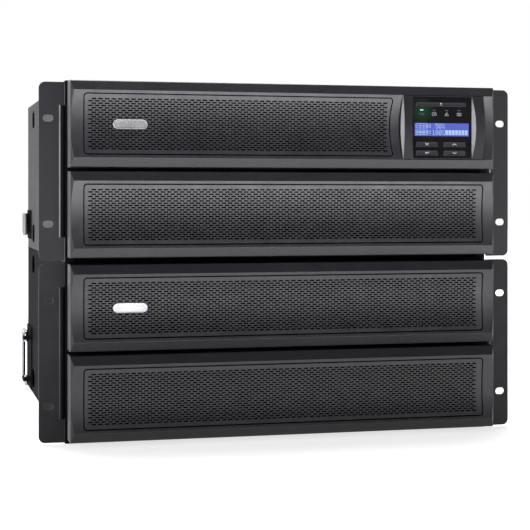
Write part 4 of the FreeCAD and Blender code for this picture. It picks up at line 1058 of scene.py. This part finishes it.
def make_fan_guards():
    """Finger guards of round wire: four rings on two crossed bars, held by four screws."""
    low, high, (_, y, z) = node_box("fan_guards")
    half = z - low[2]
    wires = []
    screws = []
    for x in (low[0] + half, high[0] - half):
        for radius in GUARD_RINGS:
            ring = [(a, y + 0.1, b) for a, b in circle(x, z, radius, 48)]
            wires.append(tube(ring, GUARD_WIRE, (0, 1, 0), closed=True, sides=8))
        centre = Vector((x, y - 0.1, z))
        for bar in (Vector((half - 1, 0, 0)), Vector((0, 0, half - 1))):
            wires.append(tube([centre - bar, centre + bar], GUARD_WIRE, (0, 1, 0), sides=8))
            for at in (centre - bar * 0.93, centre + bar * 0.93):
                screws.append(screw("y", (at.x, at.z), 2.6, y - 0.9, high[1] - 0.1))
    make_piece("fan_guard_wires", together(wires), "guard_metal", "stack", ["fan_guards"])
    make_screws("fan_guard_screws", screws)


def make_impeller(node, body):
    """Fan rotor with seven swept blades."""
    low, high, (x, _, z) = node_box(node)
    front = low[1] + 4.0
    hub = [(13.2, front), (14.0, front + 0.8), (14.0, high[1] - 2.0), (13.0, high[1] - 0.4), (11.5, high[1])]
    parts = [turned("y", (x, z), [(1.45, low[1]), (1.45, front + 0.5)], 20), turned("y", (x, z), hub, 48)]
    root, end = BLADE_STATIONS[0], BLADE_STATIONS[-1]
    for blade in range(BLADES):
        rings = []
        for radius in BLADE_STATIONS:
            share = (radius - root) / (end - root)
            sweep = math.tau * blade / BLADES + 0.35 * share * share
            ring = []
            for along, thick in BLADE_SECTION:
                angle = sweep + BLADE_CHORD * along / radius
                y = front + 8.0 + BLADE_RISE * along + thick - (1 - along * along)
                ring.append((x + radius * math.cos(angle), y, z + radius * math.sin(angle)))
            rings.append(ring)
        parts.append(loft(rings))
    make_piece(node + "_rotor", together(parts), "fan_plastic", body, [node])


def make_breakers():
    for side in ("left", "right"):
        low, high, (x, _, z) = node_box("breaker_" + side)
        radius = high[0] - x
        dome = ((0.25, 0.25), (0.9, 0.0), (1.6, 0.35))
        profile = [(radius, low[1]), (radius, high[1] - 0.8)] + [(radius - a, high[1] - b) for a, b in dome]
        make_piece("breaker_%s_button" % side, turned("y", (x, z), profile, 40), "breaker_plastic",
                   side + "_breaker", ["breaker_" + side])


def make_card_cover():
    """Blank plate with a raised field and two knurled thumbscrews."""
    low, high, (_, _, z) = node_box("card_slot_cover")
    face = low[1] + 1.2
    plate = cushion(low, [high[0], face, high[2]], 1.5, 0.3, facing=1)
    field_low = [low[0] + 16, low[1] + 0.5, low[2] + 6]
    field_high = [high[0] - 16, face + 0.35, high[2] - 6]
    field = cushion(field_low, field_high, 2.0, 0.3, facing=1)
    make_piece("card_cover_plate", together([plate, field]), "case_paint", "stack",
               ["card_slot_cover"])
    heads = []
    for x in (low[0] + SCREW_INSET, high[0] - SCREW_INSET):
        ridges = [(x + r * math.cos(a), z + r * math.sin(a))
                  for r, a in ((4.0 - 0.3 * (n % 2), math.tau * n / 48) for n in range(48))]
        heads.append(prism("y", ridges, face - 0.4, high[1]))
    make_screws("card_cover_screws", heads)


def make_panel_screws():
    """Screws along the top and bottom of each back panel."""
    heads = []
    for unit in UNITS:
        low, high, _ = node_box(unit + "_rear_panel")
        for z in (low[2] + SCREW_INSET, high[2] - SCREW_INSET):
            for step in range(5):
                x = (low[0] + 8) * (1 - step / 2)
                heads.append(screw("y", (x, z), 3.0, high[1] - 0.2, high[1] + 1.3))
    make_screws("panel_screws", heads)


def make_case_screws():
    """Four screws through each ear's flange."""
    low, high, _ = node_box("case_screws")
    heads = []
    for unit in UNITS:
        _, _, (_, _, middle) = node_box(unit + "_ear_left")
        for side in (-1, 1):
            base, top = side * (high[0] - EAR_SCREW_HEAD), side * high[0]
            for y in (low[1] + EAR_SCREW_RADIUS, high[1] - EAR_SCREW_RADIUS):
                for z in (middle - EAR_SCREW_RISE, middle + EAR_SCREW_RISE):
                    heads.append(screw("x", (y, z), EAR_SCREW_RADIUS, base, top))
    make_screws("ear_screws", heads, ["case_screws"])


def make_handle(side):
    """Folding wire handle with rounded bends; its two ends stand in the bracket's lugs."""
    node = "pack_handle_" + side
    low, high, (x, _, _) = node_box(node)
    wire = high[0] - x
    hinge, reach = low[1] + wire, high[1] - wire
    bottom, top = low[2] + wire, high[2] - wire
    path = [(hinge, bottom + 11), (hinge, bottom), (reach, bottom),
            (reach, top), (hinge, top), (hinge, top - 11)]
    path = rounded(path, [0, 4.0, 6.0, 6.0, 4.0, 0], 8)
    make_piece(node + "_wire", tube([(x, y, z) for y, z in path], wire, (1, 0, 0), sides=20), "chrome_wire",
               side + "_handle", [node], smooth=60)


# ---- batteries and electronics

BLOCK_SIZE = (94.0, 151.0)
BLOCK_GAP = 5.0
BLOCK_LID = 8.0
TERMINAL = ((14.0, 13.0), (8.0, 7.0), (3.2, 0.5))
CORE_LIMB = 14.0
CORE_INSET = 8.0
WINDING_TURNS = 19
CAN_COUNT = 6
CHIP_STEP = (33.0, 30.0)
CHIP_FIRST = (22.0, 24.0)


def make_battery_blocks(node, body):
    """Eight sealed blocks, each a case with a stepped lid, a vent cover and two terminals."""
    low, high, _ = node_box(node)
    wide, deep = BLOCK_SIZE
    floor, lid, top = low[2], high[2] - BLOCK_LID, high[2]
    (post_x, post_y), pad, blade = TERMINAL
    cases = []
    metal = []
    for column in range(4):
        for row in range(2):
            left = low[0] + (wide + BLOCK_GAP) * column
            near = low[1] + (deep + BLOCK_GAP) * row
            x, y = left + wide / 2, near + deep / 2
            for inset_x, inset_y, radius, start, end in (
                    (0, 0, 2.5, floor, lid - 1.0), (1, 1, 2.0, lid - 1.5, lid), (0, 0, 2.5, lid, top - 2.5),
                    (20, 30, 3.0, top - 3, top - 1.2)):
                outline = pane(x, y, wide / 2 - inset_x, deep / 2 - inset_y, radius)
                cases.append(prism("z", outline, start, end))
            for post in (left + post_x, left + wide - post_x):
                cases.append(prism("z", pane(post, near + post_y, *pad, 1.5), top - 3, top - 1.6))
                metal.append(prism("z", pane(post, near + post_y - 0.1, *blade), top - 2, top))
    make_piece(node + "_cases", together(cases), "block_case", body, [node])
    make_piece(node + "_terminals", together(metal), "contact_metal", body)


def make_transformer():
    """Laminated core held by four bolts, with a rounded winding on its middle limb."""
    low, high, (x, y, z) = node_box("transformer")
    wide, deep, tall = (b - a for a, b in zip((x, y, z), high))
    front = low[1] + CORE_INSET
    core = prism("y", pane(x, z, wide, tall, 1.0), front, high[1] - CORE_INSET)
    window = prism("y", pane(x, z, wide - CORE_LIMB, tall - CORE_LIMB), low[1], high[1])
    bolts = [screw("y", (a, b), 4.0, front + 0.2, front - 2.0)
             for a in (low[0] + SCREW_INSET, high[0] - SCREW_INSET)
             for b in (low[2] + SCREW_INSET, high[2] - SCREW_INSET)]
    make_piece("transformer_core", together([combined(core, [window])] + bolts), "core_steel", "stack",
               ["transformer"])
    turns = []
    for n in range(WINDING_TURNS):
        level = low[2] + CORE_LIMB + 1 + 2 * n
        loop = pane(x, y, wide - CORE_LIMB - 1, deep - 1, 7.0, 6)
        turns.append(tube([(a, b, level) for a, b in loop], 1.0, (0, 0, 1), closed=True, sides=8))
    make_piece("transformer_winding", together(turns), "contact_metal", "stack")


def make_capacitors():
    low, high, (x, _, _) = node_box("capacitors")
    radius = high[0] - x
    foot = [(radius - 0.3, low[2]), (radius, low[2] + 1.5),
            (radius - 0.6, low[2] + 2.6), (radius, low[2] + 3.8)]
    vent = [(radius, high[2] - 1.0), (radius - 1.0, high[2]), (radius - 2.2, high[2] - 0.6)]
    step = (high[1] - low[1] - 2 * radius) / (CAN_COUNT - 1)
    cans = [turned("z", (x, low[1] + radius + step * n), foot + vent, 40) for n in range(CAN_COUNT)]
    make_piece("capacitor_cans", together(cans), "can_sleeve", "stack", ["capacitors"])


def make_board_parts():
    """Chips, relays and connectors in rows at the back of the main board."""
    low, high, _ = node_box("power_board")
    parts = []
    for row in range(3):
        for column in range(11):
            size = 5.0 + 3.0 * ((column * 5 + row * 3) % 4)
            rise = 3.0 + 3.5 * ((column * 3 + row) % 4)
            x = low[0] + CHIP_FIRST[0] + CHIP_STEP[0] * column
            y = high[1] - CHIP_FIRST[1] - CHIP_STEP[1] * row
            parts.append(prism("z", pane(x, y, size, size * 0.7, 0.8), high[2], high[2] + rise))
    make_piece("power_board_parts", together(parts), "chip_plastic", "stack")


# ---- stage

FOCAL_LENGTH = 97.23
LENS_SHIFT = (0.003, -0.129)
CAMERA_PLACE = (-0.3607, -1.5887, 0.2380)
CAMERA_TURN = -13.86
FLOOR_REACH = 8.0
BOX_COLOUR = (0.955, 0.945, 1.0)
SOFT_BOXES = (
    ("low_box", (-0.1, -1.45, 0.01), (-0.1, -1.45, 1.0), (2.6, 1.3), 36.0),
    ("side_box", (-2.38, -0.77, 0.50), (0.0, 0.0, 0.2), (1.05, 1.2), 22.0),
)


def make_camera():
    data = bpy.data.cameras.new("camera")
    data.sensor_width = 36.0
    data.lens = FOCAL_LENGTH
    data.shift_x, data.shift_y = LENS_SHIFT
    data.clip_end = 50.0
    obj = bpy.data.objects.new("camera", data)
    obj.location = CAMERA_PLACE
    obj.rotation_euler = (math.radians(90), 0.0, math.radians(CAMERA_TURN))
    bpy.context.scene.collection.objects.link(obj)
    bpy.context.scene.camera = obj


def make_floor():
    bm = bmesh.new()
    bm.faces.new([bm.verts.new((x, y, 0.0))
                  for x, y in rectangle(-FLOOR_REACH, -FLOOR_REACH, FLOOR_REACH, FLOOR_REACH)])
    mesh = bpy.data.meshes.new("floor")
    bm.to_mesh(mesh)
    bm.free()
    floor = bpy.data.objects.new("floor", mesh)
    bpy.context.scene.collection.objects.link(floor)
    n = Nodes("floor")
    for socket, value in (("Base Color", (0.92, 0.92, 0.92, 1.0)), ("Roughness", 0.95),
                          ("Specular IOR Level", 0.1), ("Emission Color", (1.0, 1.0, 1.0, 1.0)),
                          ("Emission Strength", 0.7)):
        n.shader.inputs[socket].default_value = value
    floor.data.materials.append(n.material)


def add_light(name, kind, location, target, power):
    """A light at a place that shines towards a target."""
    data = bpy.data.lights.new(name, kind)
    data.energy = power
    obj = bpy.data.objects.new(name, data)
    obj.location = location
    obj.rotation_mode = "QUATERNION"
    obj.rotation_quaternion = (Vector(target) - Vector(location)).to_track_quat("-Z", "Y")
    bpy.context.scene.collection.objects.link(obj)
    return data


def make_lights():
    """A broad light overhead, a low soft box in front of the object, and a tall one to its left."""
    overhead = add_light("overhead", "SUN", (0.0, 1.1, 3.0), (0.0, 0.0, 0.0), 2.4)
    overhead.angle = math.radians(30)
    for name, location, target, size, power in SOFT_BOXES:
        box = add_light(name, "AREA", location, target, power)
        box.shape = "RECTANGLE"
        box.size, box.size_y = size
        box.color = BOX_COLOUR


def make_world():
    """White behind the object and dim in front of it; the camera itself sees plain white."""
    world = bpy.data.worlds.new("studio")
    bpy.context.scene.world = world
    world.use_nodes = True
    tree = world.node_tree
    add = tree.nodes.new
    link = tree.links.new
    direction = add("ShaderNodeSeparateXYZ")
    link(add("ShaderNodeTexCoord").outputs["Generated"], direction.inputs["Vector"])

    def spread(value, from_low, from_high, low, high):
        node = add("ShaderNodeMapRange")
        node.interpolation_type = "SMOOTHSTEP"
        for name, number in (("From Min", from_low), ("From Max", from_high)):
            node.inputs[name].default_value = number
        for name, number in (("To Min", low), ("To Max", high)):
            if isinstance(number, bpy.types.NodeSocket):
                link(number, node.inputs[name])
            else:
                node.inputs[name].default_value = number
        link(value, node.inputs["Value"])
        return node.outputs["Result"]

    around = spread(direction.outputs["Y"], -0.15, 0.35, 0.13, 1.0)
    light = spread(direction.outputs["Z"], 0.35, 0.7, around, 0.12)
    seen = add("ShaderNodeLightPath").outputs["Is Camera Ray"]
    strength = spread(seen, 0.0, 1.0, light, 1.0)
    link(strength, tree.nodes["Background"].inputs["Strength"])
    tree.nodes["Background"].inputs["Color"].default_value = (1.0, 1.0, 1.0, 1.0)


BARE = {"ups_side_tabs": "tab_steel"}
SHEET_BEVEL = 0.15


def dress_rest():
    """Every CAD node that no piece stands for gets its slot's material, or one of its own."""
    for subpart in frame["record"]["subparts"]:
        node = subpart["node"]
        if not frame["nodes"][node].hide_render:
            material = MATERIALS[BARE.get(node, subpart["material_slot"])]
            if node.endswith("rear_panel"):
                dress(node, material, SHEET_BEVEL, 1)
            else:
                dress(node, material)


make_bezel("ups_upper_bezel", "ups_upper_cover", SHORT_GRILLE_END, SHORT_GRILLE_BOW, display=True)
make_grille("ups_upper_grille", "ups_upper_cover", "ups_upper_bezel", SHORT_GRILLE_END, SHORT_GRILLE_BOW)
for unit_name, level in (("ups", "lower"), ("pack", "upper"), ("pack", "lower")):
    cover = "%s_%s_cover" % (unit_name, level)
    bezel = "%s_%s_bezel" % (unit_name, level)
    make_bezel(bezel, cover, GRILLE_HALF_LENGTH, 0.0)
    make_grille("%s_%s_grille" % (unit_name, level), cover, bezel, GRILLE_HALF_LENGTH, 0.0)
for unit_name in UNITS:
    make_badge(unit_name + "_badge", unit_name + "_upper_cover")
make_display_housing()
make_fascia()
make_lenses()
make_lcd()
make_icons()
make_keys()
for unit_name, highlight_name in (("ups", "ear_bend_highlight"), ("pack", "pack_bend_highlight")):
    for side_name, sign in (("left", -1), ("right", 1)):
        make_ear("%s_ear_%s" % (unit_name, side_name), sign, highlight_name)
make_rear_sockets()
make_fan_guards()
make_breakers()
make_card_cover()
make_panel_screws()
make_case_screws()
for side_name in ("left", "right"):
    make_impeller("fan_impeller_" + side_name, side_name + "_impeller")
    make_handle(side_name)
for blocks, drawer in (("ups_battery_blocks", "ups_drawer"), ("pack_upper_blocks", "pack_upper_drawer"),
                       ("pack_lower_blocks", "pack_lower_drawer")):
    make_battery_blocks(blocks, drawer)
make_transformer()
make_capacitors()
make_board_parts()
dress_rest()
make_camera()
make_floor()
make_lights()
make_world()
bpy.context.scene.view_settings.view_transform = "Standard"
